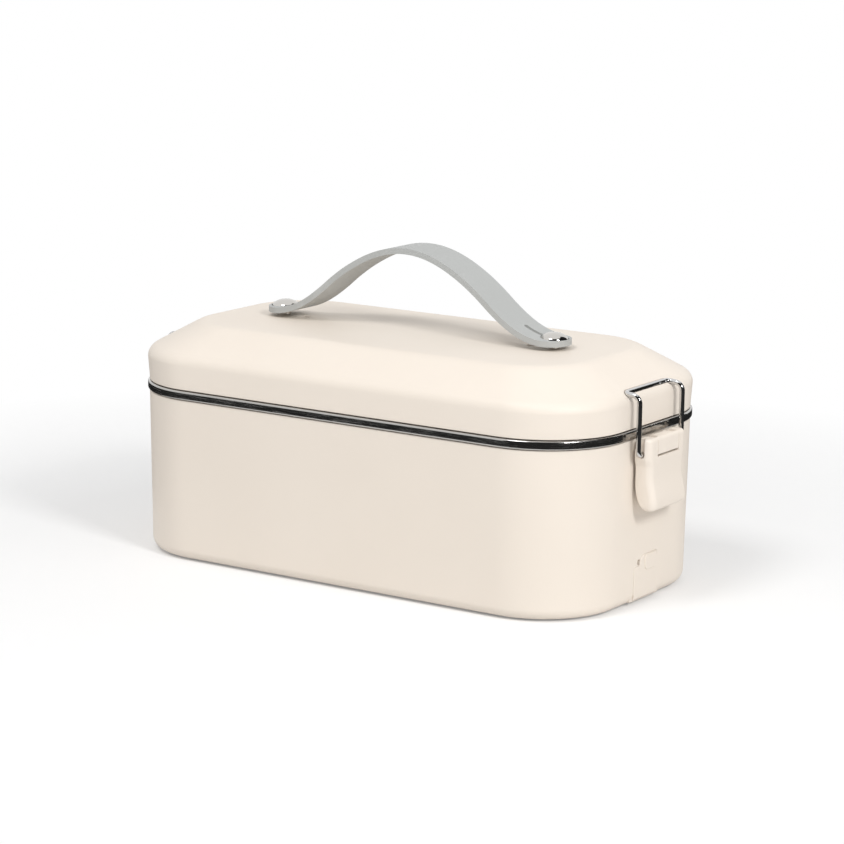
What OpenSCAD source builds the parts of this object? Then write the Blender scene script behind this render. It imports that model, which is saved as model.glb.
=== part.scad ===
// Electric lunch box with a lift-off lid, a wire clasp at each short end and a strap handle.
// Origin: middle of the footprint, on the surface it stands on. +X along the box towards
// the power inlet, +Z up. Millimetres.

/* [Casing] */
// Overall length of the casing
body_l = 240; // [210:1:280]
// Overall width of the casing
body_w = 126; // [110:1:150]
// Corner radius of the casing, seen from above
corner_r = 38; // [32:1:44]
// Height of the lower casing's top edge
base_top = 73.6; // [66:0.2:90]
// Lean of the lower casing's walls, in degrees
base_draft = 0.95; // [0.3:0.05:1.6]
// Rounding of the lower casing's bottom edge
base_round = 4.8; // [3:0.1:6]
// Wall thickness of both casings
wall = 2.5; // [2:0.1:3]
// Height of the casing above the surface it stands on
foot_proud = 0.6; // [0.4:0.1:2]
// Thickness of the lower casing's floor
floor_t = 3.6; // [3:0.1:5]

/* [Lid] */
// Height of the flat top above the surface
lid_top = 104.96; // [100:0.2:120]
// Height of the corner between the lid's wall and its slope
shoulder_z = 92.2; // [88:0.2:96]
// Length of the flat top
plateau_l = 199; // [180:1:212]
// Width of the flat top
plateau_w = 89.2; // [80:0.2:100]
// Corner radius of the flat top
plateau_r = 28.3; // [22:0.1:32]
// Depth of the rounding at the shoulder
shoulder_round = 3.45; // [2:0.05:5]
// Depth of the rounding at the edge of the flat top
plateau_round = 2.85; // [1.5:0.05:4]
// Gap between the tray's rim and the lid
rim_gap = 0.3; // [0.2:0.05:0.6]
// Thickness of the lid's inner liner
liner_t = 1.6; // [1.2:0.1:2.4]

/* [Tray and well] */
// Height of the steel band that shows between casing and lid
rim_h = 4.0; // [3:0.1:6]
// How far the band stands out past the casing
rim_proud = 0.8; // [0.4:0.1:1.6]
// Thickness of the tray's sheet
tray_t = 0.8; // [0.6:0.1:1.2]
// Distance from the casing's outside to the tray's inside
tray_inset = 12.1; // [11:0.1:16]
// Height of the tray's outside floor
tray_floor_z = 23.9; // [23:0.1:40]
// Gap between tray and well
tray_gap = 0.5; // [0.3:0.1:1.5]
// Thickness of the well's sheet
well_t = 1.0; // [0.8:0.1:1.5]

/* [Handle strap] */
// Distance between the middles of the two studs
stud_pitch = 142.6; // [120:0.2:150]
// Width of the strap
strap_w = 20.4; // [16:0.2:26]
// Thickness of the strap
strap_t = 2.6; // [2:0.1:3.4]
// Gap between the lid and the strap's ends
strap_gap = 1.9; // [1.2:0.1:3]
// Rise of the strap's crest above its ends
strap_rise = 33.6; // [26:0.2:44]
// Diameter of the domed stud heads
head_d = 12.2; // [9:0.1:14]
// Height of the domed stud heads
head_h = 2.7; // [1.8:0.1:3.4]
// Depth that the heads are let into the strap
head_sunk = 0.9; // [0.4:0.1:1.4]
// Diameter of the stud shanks
shank_d = 3.4; // [3:0.1:5]
// Length of the slit that runs inward from each stud
slit_l = 16.5; // [8:0.5:20]
// Width of that slit
slit_w = 1.4; // [1:0.1:2]

/* [Clasps] */
// Diameter of the clasp wire
wire_d = 2.3; // [1.8:0.1:2.8]
// Distance between the middles of a loop's two legs
wire_pitch = 36.6; // [34:0.2:42]
// Distance from the casing's end to the middle of the legs
wire_out = 4.5; // [4.2:0.1:5.6]
// Distance from the casing's end inward to the middle of the crossbar
crossbar_in = 3; // [2.6:0.1:4]
// Height of the crossbar
crossbar_z = 94.2; // [93.6:0.1:96]
// Width of a lever's upper part
lever_w = 31.6; // [28:0.2:32.4]
// Height of a lever's lower end
lever_low = 43.4; // [42:0.2:48]
// Height of a lever's upper end
lever_high = 74.6; // [74.2:0.1:76]
// Distance from the casing's end to a lever's front
lever_out = 8.7; // [8.2:0.1:9.6]
// Height of the point where the wire turns in the lever
wire_pivot_z = 67.7; // [67.2:0.1:68.4]
// Height of the lever's pin
lever_pin_z = 71.6; // [71.4:0.1:72.4]
// Distance from the casing's end to the lever's pin
lever_pin_out = 4.4; // [4.2:0.1:4.7]
// Diameter of the lever's pin
lever_pin_d = 1.8; // [1.4:0.1:2]

/* [Power inlet] */
// Width of the cover flap
flap_w = 19.5; // [18.8:0.1:22]
// Height of the cover flap's upper edge
flap_top = 21.2; // [20:0.1:23]
// Thickness of the cover flap
flap_t = 1.8; // [1.4:0.1:2.4]
// Height of the middle of the socket
socket_z = 12.2; // [11.8:0.1:13]
// Width of the socket's opening
socket_w = 16.2; // [15.8:0.1:16.8]
// Height of the socket's opening
socket_h = 8.4; // [8:0.1:9]
// Depth of the socket's opening
socket_depth = 9.8; // [8:0.1:11]
// Diameter of a contact pin
contact_d = 2.36; // [2.2:0.02:2.5]
// Distance between the two contact pins
contact_pitch = 8.6; // [8.2:0.1:9]
// Length of a contact pin in the opening
contact_l = 8.3; // [6:0.1:9]
// Diameter of the contact pins' tails, in the socket's body
contact_tail_d = 1.9; // [1.6:0.1:2]
// Diameter of the flap's hinge pin
flap_pin_d = 1.4; // [1.2:0.1:1.6]

/* [Hidden] */
$fn = 48;

cream = [0.92, 0.88, 0.82];
steel = [0.66, 0.67, 0.68];
strap_grey = [0.72, 0.73, 0.71];
seal_grey = [0.8, 0.8, 0.78];
black = [0.12, 0.12, 0.13];

ring_steps = 10;
round_steps = 5;
fit = 0.3;
run_gap = 0.05;
seat_gap = 0.02;
cut = 0.5;
half_l = body_l / 2;
half_w = body_w / 2;
base_z = foot_proud;
wall_lean = tan(base_draft);
rim_top = base_top + fit + rim_h;
lid_low = rim_top + rim_gap;

// Rounded-rectangle ring, inset from the casing's outline
function ring(l, w, r, z) = [
    for (q = [0:3], i = [0:ring_steps])
        let (a = 90 * q + 90 * i / ring_steps, sx = q == 0 || q == 3 ? 1 : -1, sy = q < 2 ? 1 : -1)
        [sx * (l / 2 - r) + r * cos(a), sy * (w / 2 - r) + r * sin(a), z]];
function inset_ring(d, z) = ring(body_l - 2 * d, body_w - 2 * d, max(corner_r - d, 1), z);

// Solid through a list of rings, capped at both ends
module loft(rings) {
    m = len(rings[0]);
    k = len(rings);
    sides = [for (j = [0:k - 2], i = [0:m - 1])
        let (a = j * m + i, b = j * m + (i + 1) % m, c = b + m, d = a + m) each [[a, c, b], [a, d, c]]];
    caps = [[for (i = [0:m - 1]) i], [for (i = [m - 1:-1:0]) (k - 1) * m + i]];
    polyhedron([for (r = rings) each r], concat(sides, caps));
}

// Flat rounded rectangle with true arcs
module round_rect(l, w, r) {
    square([l - 2 * r, w], center = true);
    square([l, w - 2 * r], center = true);
    for (x = [-1, 1], y = [-1, 1]) translate([x * (l / 2 - r), y * (w / 2 - r)]) circle(r);
}
module inset_plate(d, z0, z1) {
    translate([0, 0, z0]) linear_extrude(z1 - z0)
        round_rect(body_l - 2 * d, body_w - 2 * d, corner_r - d);
}
module inset_frame(d0, d1, z0, z1) {
    translate([0, 0, z0]) linear_extrude(z1 - z0) difference() {
        round_rect(body_l - 2 * d0, body_w - 2 * d0, corner_r - d0);
        round_rect(body_l - 2 * d1, body_w - 2 * d1, corner_r - d1);
    }
}

// Countersunk screw that points down from z = 0, with a cross recess
module screw(d, l, head) {
    head_t = (head - d) / 2;
    difference() {
        union() {
            translate([0, 0, -head_t]) cylinder(d1 = d, d2 = head, h = head_t);
            translate([0, 0, -l]) cylinder(d = d, h = l - head_t);
        }
        for (a = [0, 90]) rotate(a) translate([-head / 4, -d / 8, -head_t / 2])
            cube([head / 2, d / 4, head_t]);
    }
}
module other_end() {
    rotate(180) children();
}

// Lower casing
rebate_t = 2;
opening_in = 20;
cover_in = 13;
cover_gap = 0.3;
ledge_z = base_top - 4;
ledge_edge = 1;
ledge_root = 6;
ledge_in = 9.5;
lip = 0.4;
function draft(z) = (base_top - z) * wall_lean;
function base_outer(z) = inset_ring(draft(z), z);
function base_round_ring(a) =
    let (z = base_z + base_round * (1 - sin(a))) inset_ring(draft(z) + base_round * (1 - cos(a)), z);
base_rings = concat(
    [for (i = [0:round_steps]) base_round_ring(90 - 90 * i / round_steps)],
    [for (z = [0.4 * base_top, 0.7 * base_top, base_top - lip]) base_outer(z), inset_ring(lip, base_top)],
    [inset_ring(wall - lip, base_top), inset_ring(wall, base_top - lip), inset_ring(wall, ledge_z),
     inset_ring(ledge_in, ledge_z), inset_ring(ledge_in, ledge_z - ledge_edge),
     inset_ring(wall + 0.2, ledge_z - ledge_root)],
    [for (v = [[0, 10], [1, 4], [3.5, 0]])
        let (z = base_z + floor_t + v.y) inset_ring(draft(z) + wall + v.x, z)]);

case_screw_d = 2.6;
case_screw_l = 9;
case_screw_head = 5;
cover_screws = [for (x = [-1, 1], y = [-1, 1]) [x * (half_l - 36), y * (half_w - 17)],
    for (y = [-1, 1]) [0, y * (half_w - 17)]];
well_screw_in = 6;
well_hole_l = 7;
well_screw_xy = concat(
    [for (x = [-0.28, 0.28], y = [-1, 1]) [x * body_l, y * (half_w - well_screw_in)]],
    [for (x = [-1, 1]) [x * (half_l - well_screw_in), 0]]);

// Power inlet, at the +X end
boss_front = half_l - draft(base_z) - 0.25;
boss_w = flap_w + 4.8;
boss_top = flap_top + 3;
boss_back = half_l - 8;
boss_up = 1;
flap_gap = 0.3;
flap_back = boss_front - 1;
flap_front = flap_back + flap_t;
socket_floor_x = flap_back - 0.5 - socket_depth;
hinge_x = boss_front - 0.7;
hinge_z = 4.2;
hinge_r = 1.5;
flap_low = 2.9;
neck_w = socket_w + 2.2;
neck_h = socket_h + 2;
neck_gap = 0.2;
module stadium(w, h, x0, x1) {
    translate([x0, 0, socket_z]) rotate([90, 0, 90]) linear_extrude(x1 - x0) {
        square([w - h, h], center = true);
        for (s = [-1, 1]) translate([s * (w - h) / 2, 0]) circle(h / 2);
    }
}
// Outline of the cover flap, seen from outside, with a stepped upper corner for a fingertip
step_y = 4.8;
step_z = flap_top - 4.4;
tab_round = 4.2;
module flap_outline(grow) {
    left = flap_w / 2 + grow;
    low = flap_low - grow;
    translate([-left, low]) square([2 * left, step_z + grow - low]);
    translate([tab_round - step_y, low]) square([left + step_y - tab_round, flap_top + grow - low]);
    translate([-step_y - grow, low]) square([left + step_y + grow, flap_top - tab_round - low]);
    translate([tab_round - step_y, flap_top - tab_round]) circle(tab_round + grow);
}
module at_end_face(x) {
    translate([x, 0, 0]) rotate([90, 0, 90]) children();
}
module inlet_boss() {
    translate([boss_back, -boss_w / 2, base_z + boss_up])
        cube([boss_front - boss_back, boss_w, boss_top - base_z - boss_up]);
}
inlet_screw_d = 1.8;
inlet_screw_l = 4.6;
inlet_screw_y = neck_w / 2 + 2.6;
inlet_flange_t = 1.6;
inlet_flange_w = 2 * inlet_screw_y + 4.4;
module inlet_inner_boss() {
    low = base_z + floor_t - cut;
    translate([boss_back, -inlet_flange_w / 2, low])
        cube([half_l - wall - boss_back, inlet_flange_w, boss_top - low]);
}
module inlet_cuts() {
    for (s = [-1, 1]) translate([boss_back - 1, s * inlet_screw_y, socket_z]) rotate([0, 90, 0])
        cylinder(d = inlet_screw_d + 2 * seat_gap, h = inlet_screw_l - inlet_flange_t + 1.2);
    at_end_face(flap_back - 0.3) linear_extrude(10) flap_outline(flap_gap);
    translate([hinge_x, 0, hinge_z]) rotate([90, 0, 0])
        cylinder(r = hinge_r + 0.8, h = flap_w + 2 * flap_gap, center = true);
    translate([flap_back - 0.3, -step_y - 0.7, step_z + 1.2]) rotate([0, 90, 0]) cylinder(r = 1.2, h = 9);
    stadium(neck_w + 2 * neck_gap, neck_h + 2 * neck_gap, boss_back - 1, boss_front + 1);
    translate([hinge_x, 0, hinge_z]) rotate([90, 0, 0])
        cylinder(d = flap_pin_d + 2 * seat_gap, h = boss_w - 1, center = true);
}

// Seats for the clasp brackets
plate_low = 59.5;
plate_high = base_top - 0.4;
plate_w = 20;
plate_back = half_l - 0.6;
plate_t = 1.6;
bracket_screw_y = 3.4;
bracket_screw_z = 65.6;
module bracket_seat() {
    translate([plate_back, -plate_w / 2 - 0.2, plate_low - 0.2])
        cube([5, plate_w + 0.4, plate_high - plate_low + 0.4]);
    for (y = [-1, 1]) translate([plate_back - 8, y * bracket_screw_y, bracket_screw_z])
        rotate([0, 90, 0]) cylinder(r = 1, h = 12);
}

module base_shell() {
    color(cream) difference() {
        union() {
            loft(base_rings);
            inlet_boss();
            inlet_inner_boss();
            for (p = cover_screws) translate([p.x, p.y, base_z + floor_t - cut])
                cylinder(d = case_screw_d + 4.2, h = case_screw_l - floor_t + 2.6);
        }
        translate([0, 0, base_z - 1]) linear_extrude(rebate_t + 1)
            round_rect(body_l - 2 * cover_in, body_w - 2 * cover_in, corner_r - cover_in);
        inset_plate(opening_in, base_z, base_z + floor_t + 0.01);
        for (p = cover_screws) translate([p.x, p.y, base_z]) cylinder(d = case_screw_d, h = case_screw_l + 1);
        for (p = well_screw_xy) translate([p.x, p.y, ledge_z - well_hole_l])
            cylinder(r = 1.2, h = well_hole_l + 1);
        bracket_seat();
        other_end() bracket_seat();
        inlet_cuts();
    }
}

foot_in = [46, 24];
foot_xy = [for (x = [-1, 1], y = [-1, 1]) [x * (half_l - foot_in.x), y * (half_w - foot_in.y)]];
foot_d = 12;
foot_sunk = 1;
foot_gap = 0.2;
module bottom_cover() {
    d = cover_in + cover_gap;
    color(cream) difference() {
        inset_plate(d, base_z, base_z + rebate_t);
        for (p = foot_xy) translate([p.x, p.y, -1])
            cylinder(d = foot_d + 2 * foot_gap, h = 1 + base_z + foot_sunk);
        for (p = cover_screws) translate([p.x, p.y, base_z]) {
            translate([0, 0, -1]) cylinder(d = case_screw_d + 0.8, h = rebate_t + 2);
            cylinder(d1 = case_screw_head + 0.8, d2 = case_screw_d + 0.8,
                h = (case_screw_head - case_screw_d) / 2);
        }
    }
}
module bottom_screws() {
    color(steel) for (p = cover_screws) translate([p.x, p.y, base_z + 0.1]) rotate([180, 0, 0])
        screw(case_screw_d, case_screw_l, case_screw_head);
}
module rubber_feet() {
    color(black) for (p = foot_xy) translate([p.x, p.y, 0]) {
        cylinder(d1 = foot_d - 1, d2 = foot_d, h = base_z / 2);
        translate([0, 0, base_z / 2]) cylinder(d = foot_d, h = base_z / 2 + foot_sunk);
    }
}

// Heater well and what hangs below it
well_flange_in = wall + 0.4;
well_wall_in = tray_inset - tray_t - tray_gap - well_t;
seal_t = 0.6;
well_flange_z = ledge_z + seal_t;
well_floor_z = tray_floor_z - 0.4 - well_t;
bowl_round = 8;
function bowl_rings(d, z, r, lean) = [for (i = [0:round_steps])
    let (a = 90 - 90 * i / round_steps)
    inset_ring(d + lean + r * (1 - cos(a)), z + r * (1 - sin(a)))];
bowl_lean = 1.4;
function flip(v) = [for (i = [len(v) - 1:-1:0]) v[i]];
well_rings = concat(
    bowl_rings(well_wall_in, well_floor_z, bowl_round, bowl_lean),
    [inset_ring(well_wall_in, well_flange_z), inset_ring(well_flange_in, well_flange_z)],
    [inset_ring(well_flange_in, well_flange_z + well_t)],
    [inset_ring(well_wall_in + well_t, well_flange_z + well_t)],
    flip(bowl_rings(well_wall_in + well_t, well_floor_z + well_t, bowl_round - well_t, bowl_lean)));
plate_l = 140;
plate_wide = 64;
plate_t2 = 3;
heater_gap = 0.05;
stud_l = 4;
plate_z = well_floor_z - plate_t2 - heater_gap;
stud_xy = [for (x = [-1, 1], y = [-1, 1]) [x * (plate_l / 2 - 7), y * (plate_wide / 2 - 7)]];
module heater_well() {
    color(steel) {
        difference() {
            loft(well_rings);
            for (p = well_screw_xy) translate([p.x, p.y, ledge_z]) cylinder(d = 3, h = 4);
        }
        for (p = stud_xy) translate([p.x, p.y, plate_z - stud_l])
            cylinder(d = 3, h = well_floor_z - plate_z + stud_l + 0.2);
    }
}
module well_seal() {
    color(seal_grey) difference() {
        inset_frame(well_flange_in, ledge_in - 0.2, ledge_z, well_flange_z);
        for (p = well_screw_xy) translate([p.x, p.y, ledge_z - 1]) cylinder(d = 3, h = 4);
    }
}
module well_screws() {
    color(steel) for (p = well_screw_xy) translate([p.x, p.y, well_flange_z + well_t]) {
        translate([0, 0, -7]) cylinder(d = 2.4, h = 7);
        difference() {
            cylinder(d = 4.6, h = 1.4);
            for (a = [0, 90]) rotate(a) translate([-1.2, -0.3, 0.7]) cube([2.4, 0.6, 1]);
        }
    }
}
block_l = 60;
block_w = 22;
block_h = 6;
clamp_t = 1;
clamp_foot = 7;
clamp_screw_y = block_w / 2 + clamp_t + clamp_foot / 2;
module heater_plate() {
    color([0.75, 0.76, 0.78]) difference() {
        translate([0, 0, plate_z]) linear_extrude(plate_t2) round_rect(plate_l, plate_wide, 8);
        for (p = stud_xy) translate([p.x, p.y, plate_z - 1]) cylinder(d = 3.4, h = plate_t2 + 2);
        for (y = [-1, 1]) translate([0, y * clamp_screw_y, plate_z - 1])
            cylinder(d = 2.5, h = plate_t2 + 0.4);
    }
}
module plate_nuts() {
    color(steel) for (p = stud_xy) translate([p.x, p.y, plate_z - 2.4]) difference() {
        cylinder(d = 6.2, h = 2.4, $fn = 6);
        translate([0, 0, -1]) cylinder(d = 3.04, h = 5);
    }
}
block_z = plate_z - block_h;
module heater_block() {
    color([0.82, 0.8, 0.74]) {
        translate([-block_l / 2, -block_w / 2, block_z]) cube([block_l, block_w, block_h]);
        for (s = [-1, 1]) translate([block_l / 2 - 0.5, s * 5 - 1.5, block_z + 2.4]) cube([7.5, 3, 0.8]);
    }
}
module heater_clamp() {
    clamp_w = 12;
    color(steel) difference() {
        for (m = [0, 1]) mirror([0, m, 0]) {
            translate([-clamp_w / 2, -0.1, block_z - clamp_t])
                cube([clamp_w, block_w / 2 + clamp_t + 0.1, clamp_t]);
            translate([-clamp_w / 2, block_w / 2, block_z - clamp_t])
                cube([clamp_w, clamp_t, block_h + clamp_t]);
            translate([-clamp_w / 2, block_w / 2, plate_z - clamp_t])
                cube([clamp_w, clamp_t + clamp_foot, clamp_t]);
        }
        for (s = [-1, 1]) translate([0, s * clamp_screw_y, plate_z - 3]) cylinder(d = 2.7, h = 6);
    }
}
module clamp_screws() {
    color(steel) for (s = [-1, 1]) translate([0, s * clamp_screw_y, plate_z - clamp_t]) {
        cylinder(d = 2.46, h = 3.2);
        translate([0, 0, -1.6]) cylinder(d = 4.4, h = 1.6);
    }
}
thermostat_x = plate_l / 2 - 20;
thermostat_d = 15;
thermostat_h = 7.6;
thermostat_flange = 1.4;
thermostat_z = plate_z - thermostat_h - thermostat_flange;
tab_y = 4.6;
module thermostat() {
    color(black) translate([thermostat_x, 0, thermostat_z]) {
        cylinder(d = thermostat_d, h = thermostat_h);
        translate([0, 0, thermostat_h]) cylinder(d = thermostat_d + 2, h = thermostat_flange);
        for (s = [-1, 1]) translate([-2, s * tab_y - 0.4, -5]) cube([4, 0.8, 5.5]);
    }
}
fuse_x = thermostat_x - 12;
fuse_l = 12;
fuse_y = 24;
fuse_d = 4.2;
fuse_z = plate_z - fuse_d / 2;
module thermal_fuse() {
    color([0.85, 0.85, 0.8]) translate([fuse_x, fuse_y, fuse_z]) rotate([0, 90, 0]) {
        cylinder(d = fuse_d, h = fuse_l, center = true);
        cylinder(d = 1, h = fuse_l + 8, center = true);
    }
}

// Internal leads: tubes swept along points chosen by hand
lead_d = 2.2;
lead_sides = 8;
function unit(v) = v / norm(v);
function tube_ring(p, dir, r) =
    let (side = unit(cross(dir, [0.31, 0.17, 1])), up = cross(dir, side))
    [for (i = [0:lead_sides - 1]) let (a = 360 * i / lead_sides) p + r * (cos(a) * side + sin(a) * up)];
module tube(p, d) {
    n = len(p);
    loft([for (i = [0:n - 1])
        tube_ring(p[i], unit(p[min(i + 1, n - 1)] - p[max(i - 1, 0)]), d / 2)]);
}
tail_x = boss_back - 9;
tab_x = thermostat_x + 2;
tab_z = thermostat_z - 3;
block_tab_x = block_l / 2 + 7;
block_tab_z = block_z + 2.8;
fuse_end = fuse_l / 2 + 4;
function between(a, b, t) = a + t * (b - a);
live_lead = concat([[tail_x, contact_pitch / 2, socket_z]],
    [for (v = [[0.1, 4.6, 0.95], [0.22, 6, 0.75], [0.37, 8, 0.45], [0.55, 8.4, 0.2], [0.73, 7, 0.05],
        [0.88, 4.8, 0]]) [between(tail_x, tab_x, v.x), v.y, between(tab_z, socket_z, v.z)]],
    [[tab_x, tab_y, tab_z]]);
neutral_lead = concat([[tail_x, -contact_pitch / 2, socket_z]],
    [for (v = [[0.08, -5, 0.95], [0.2, -8, 0.62], [0.35, -11, 0.25], [0.53, -13, 0], [0.71, -13, 0]])
        [between(tail_x, block_tab_x, v.x), v.y, between(tab_z, socket_z, v.z)]],
    [for (v = [[11, -5, -6.6], [7, -1.6, -2.6], [4, -0.2, -0.4], [0, 0, 0]])
        [block_tab_x + v.x, v.y - 5, block_tab_z + v.z]]);
fuse_lead = concat(
    [for (v = [[-4, -tab_y, 0], [-9, -4, -0.4], [-13, 0, -0.4], [-12, 8, 0.6]])
        [tab_x + v.x, v.y, tab_z + v.z]],
    [for (v = [[-1, -7, -6.4], [5, -2, -2.8], [5, 0, -0.6], [0, 0, 0]])
        [fuse_x + fuse_end + v.x, fuse_y + v.y, fuse_z + v.z]]);
heater_lead = concat(
    [for (v = [[0, 0, 0], [-3.4, -0.4, -1], [-4.6, -3, -4]])
        [fuse_x - fuse_end + v.x, fuse_y + v.y, fuse_z + v.z]],
    [for (v = [[-10, 9, -5.6], [-3, 3.6, -5.8], [3, 1, -3.2], [3.4, 0.2, -0.6], [0, 0, 0]])
        [block_tab_x + v.x, v.y + 5, block_tab_z + v.z]]);
module internal_leads() {
    color([0.85, 0.83, 0.78]) for (p = [live_lead, neutral_lead, fuse_lead, heater_lead]) tube(p, lead_d);
}

module inlet_socket() {
    color(black) difference() {
        union() {
            stadium(neck_w, neck_h, boss_back - inlet_flange_t, flap_back - 0.5);
            translate([boss_back - inlet_flange_t, -inlet_flange_w / 2, socket_z - neck_h / 2 - 1.4])
                cube([inlet_flange_t, inlet_flange_w, neck_h + 2.8]);
            translate([tail_x + 2, -socket_w / 2, socket_z - socket_h / 2 - 0.4])
                cube([boss_back - tail_x - 2.4, socket_w, socket_h + 0.8]);
        }
        stadium(socket_w, socket_h, socket_floor_x, boss_front + 1);
        for (s = [-1, 1]) translate([tail_x, s * contact_pitch / 2, socket_z]) rotate([0, 90, 0])
            cylinder(d = contact_tail_d + 2 * seat_gap, h = socket_floor_x - tail_x + 1);
        for (s = [-1, 1]) translate([boss_back - 3, s * inlet_screw_y, socket_z]) rotate([0, 90, 0])
            cylinder(d = inlet_screw_d + 0.2, h = 6);
    }
}
module contact_pins() {
    front = socket_floor_x + contact_l;
    root = socket_floor_x + 0.3;
    tip = 0.7;
    color([0.8, 0.72, 0.45]) for (s = [-1, 1]) translate([0, s * contact_pitch / 2, socket_z])
        rotate([0, 90, 0]) {
            translate([0, 0, tail_x]) cylinder(d = contact_tail_d, h = root - tail_x);
            translate([0, 0, root]) cylinder(d = contact_d, h = front - tip - root);
            translate([0, 0, front - tip]) cylinder(d1 = contact_d, d2 = contact_d - 1, h = tip);
        }
}
module inlet_screws() {
    color(steel) for (s = [-1, 1]) translate([boss_back - inlet_flange_t, s * inlet_screw_y, socket_z]) {
        rotate([0, 90, 0]) cylinder(d = inlet_screw_d, h = inlet_screw_l);
        rotate([0, -90, 0]) cylinder(d = inlet_screw_d + 1, h = 1);
    }
}
module inlet_cover() {
    tab_w = 10;
    tab_h = 6.8;
    tab_y = flap_w / 2 - 0.8 - tab_w / 2;
    color(cream) difference() {
        union() {
            at_end_face(flap_back) linear_extrude(flap_t) flap_outline(0);
            at_end_face(flap_front - 0.2) linear_extrude(0.7) translate([tab_y, flap_top - tab_h / 2 - 0.3])
                round_rect(tab_w, tab_h, 2);
            translate([hinge_x, 0, hinge_z]) rotate([90, 0, 0])
                cylinder(r = hinge_r, h = flap_w, center = true);
        }
        translate([hinge_x, 0, hinge_z]) rotate([90, 0, 0])
            cylinder(d = flap_pin_d + 2 * run_gap, h = flap_w + 2, center = true);
    }
}
module inlet_cover_pin() {
    color(steel) translate([hinge_x, 0, hinge_z]) rotate([90, 0, 0])
        cylinder(d = flap_pin_d, h = boss_w - 2, center = true);
}

// Food tray: bowl, flange and rolled rim in one sheet
rim_round = 0.9;
tray_wall_in = tray_inset - tray_t;
rim_low = rim_top - rim_h;
hem = 1.4;
tray_rings = concat(
    bowl_rings(tray_wall_in, tray_floor_z, bowl_round, bowl_lean),
    [inset_ring(tray_wall_in, rim_top - tray_t)],
    [inset_ring(tray_t - rim_proud, rim_top - tray_t), inset_ring(tray_t - rim_proud, rim_low + tray_t),
     inset_ring(hem, rim_low + tray_t), inset_ring(hem, rim_low),
     inset_ring(rim_round - rim_proud, rim_low)],
    [for (a = [30, 60, 90])
        inset_ring(rim_round * (1 - sin(a)) - rim_proud, rim_low + rim_round * (1 - cos(a)))],
    [for (a = [0, 30, 60, 90])
        inset_ring(rim_round * (1 - cos(a)) - rim_proud, rim_top - rim_round * (1 - sin(a)))],
    [inset_ring(tray_inset - 0.8, rim_top), inset_ring(tray_inset, rim_top - 0.8)],
    flip(bowl_rings(tray_inset, tray_floor_z + tray_t, bowl_round - tray_t, bowl_lean)));
module food_tray() {
    color(steel) loft(tray_rings);
}

// Lid casing: wall, shoulder, slope and flat top
slope_f = shoulder_round / 23;
edge_f = plateau_round / 23;
shoulder_r = corner_r - 1.8;
slope_rise = lid_top - shoulder_z;
function lid_ring(f, z, d) = ring(
    body_l + f * (plateau_l - body_l) - 2 * d, body_w + f * (plateau_w - body_w) - 2 * d,
    shoulder_r + f * (plateau_r - shoulder_r) - d, z);
function bezier(a, b, c, t) = (1 - t) * (1 - t) * a + 2 * t * (1 - t) * b + t * t * c;
function shoulder_ring(t, d, drop) = lid_ring(bezier(0, 0, slope_f, t),
    bezier(shoulder_z - shoulder_round, shoulder_z, shoulder_z + slope_f * slope_rise, t) - drop, d);
function edge_ring(t, d, drop) = lid_ring(bezier(1 - edge_f, 1, 1, t),
    bezier(lid_top - edge_f * slope_rise, lid_top, lid_top, t) - drop, d + bezier(0, 0, plateau_round, t));
lid_steps = [0, 0.2, 0.4, 0.6, 0.8, 1];
lid_drop = wall * 0.45;
lid_rings = concat(
    [edge_ring(1, wall * 0.4, wall), edge_ring(0, wall * 0.8, wall * 0.75)],
    [shoulder_ring(1, wall, lid_drop), shoulder_ring(0, wall, 0)],
    [inset_ring(wall, lid_low + 0.5), inset_ring(wall - 0.4, lid_low)],
    [inset_ring(0.4, lid_low), inset_ring(0, lid_low + 0.5)],
    [for (t = lid_steps) shoulder_ring(t, 0, 0)],
    [for (t = lid_steps) edge_ring(t, 0, 0)]);

// Notch that the wire's crossbar and arms lie in, open towards the end of the box
notch_fall = tan(20);
notch_back = half_l - crossbar_in - wire_d / 2 - 0.35;
notch_floor = crossbar_z - wire_d / 2 - fit;
notch_w = wire_pitch + wire_d + 1.6;
module wire_notch() {
    rotate([90, 0, 0]) linear_extrude(notch_w, center = true) polygon([
        [notch_back, notch_floor], [half_l - crossbar_in, notch_floor],
        [half_l + 2, notch_floor - (crossbar_in + 2) * notch_fall],
        [half_l + 2, notch_floor + 8], [notch_back, notch_floor + 8]]);
}
liner_screws_xy = concat(
    [for (x = [-1, 1], y = [-1, 1]) [x * (plateau_l / 2 - 15.5), y * (plateau_w / 2 - 14.6)]],
    [for (y = [-1, 1]) [0, y * (plateau_w / 2 - 10)]]);
stud_x = stud_pitch / 2;
vent_x = stud_x - 11.5;
vent_l = 4;
vent_w = 1.3;
liner_z = lid_low + 2.4;
liner_top = liner_z + liner_t;
module lid_shell() {
    color(cream) difference() {
        union() {
            loft(lid_rings);
            for (p = liner_screws_xy) translate([p.x, p.y, liner_top])
                cylinder(r = 3.2, h = lid_top - wall / 2 - liner_top);
        }
        for (p = liner_screws_xy) translate([p.x, p.y, liner_top - 1]) cylinder(r = 1.3, h = 12);
        for (x = [-stud_x, stud_x]) translate([x, 0, lid_top - 8]) cylinder(d = shank_d + 0.3, h = 12);
        for (x = [-vent_x, vent_x]) translate([x, 0, lid_top - 8]) linear_extrude(12)
            square([vent_l, vent_w], center = true);
        wire_notch();
        other_end() wire_notch();
    }
}
gasket_in = wall + 1.7;
gasket_w = 3.6;
rib_t = 1.2;
rib_in = gasket_in + gasket_w + 0.2;
panel_in = 16;
panel_drop = 1.2;
liner_in = wall + fit;
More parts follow.
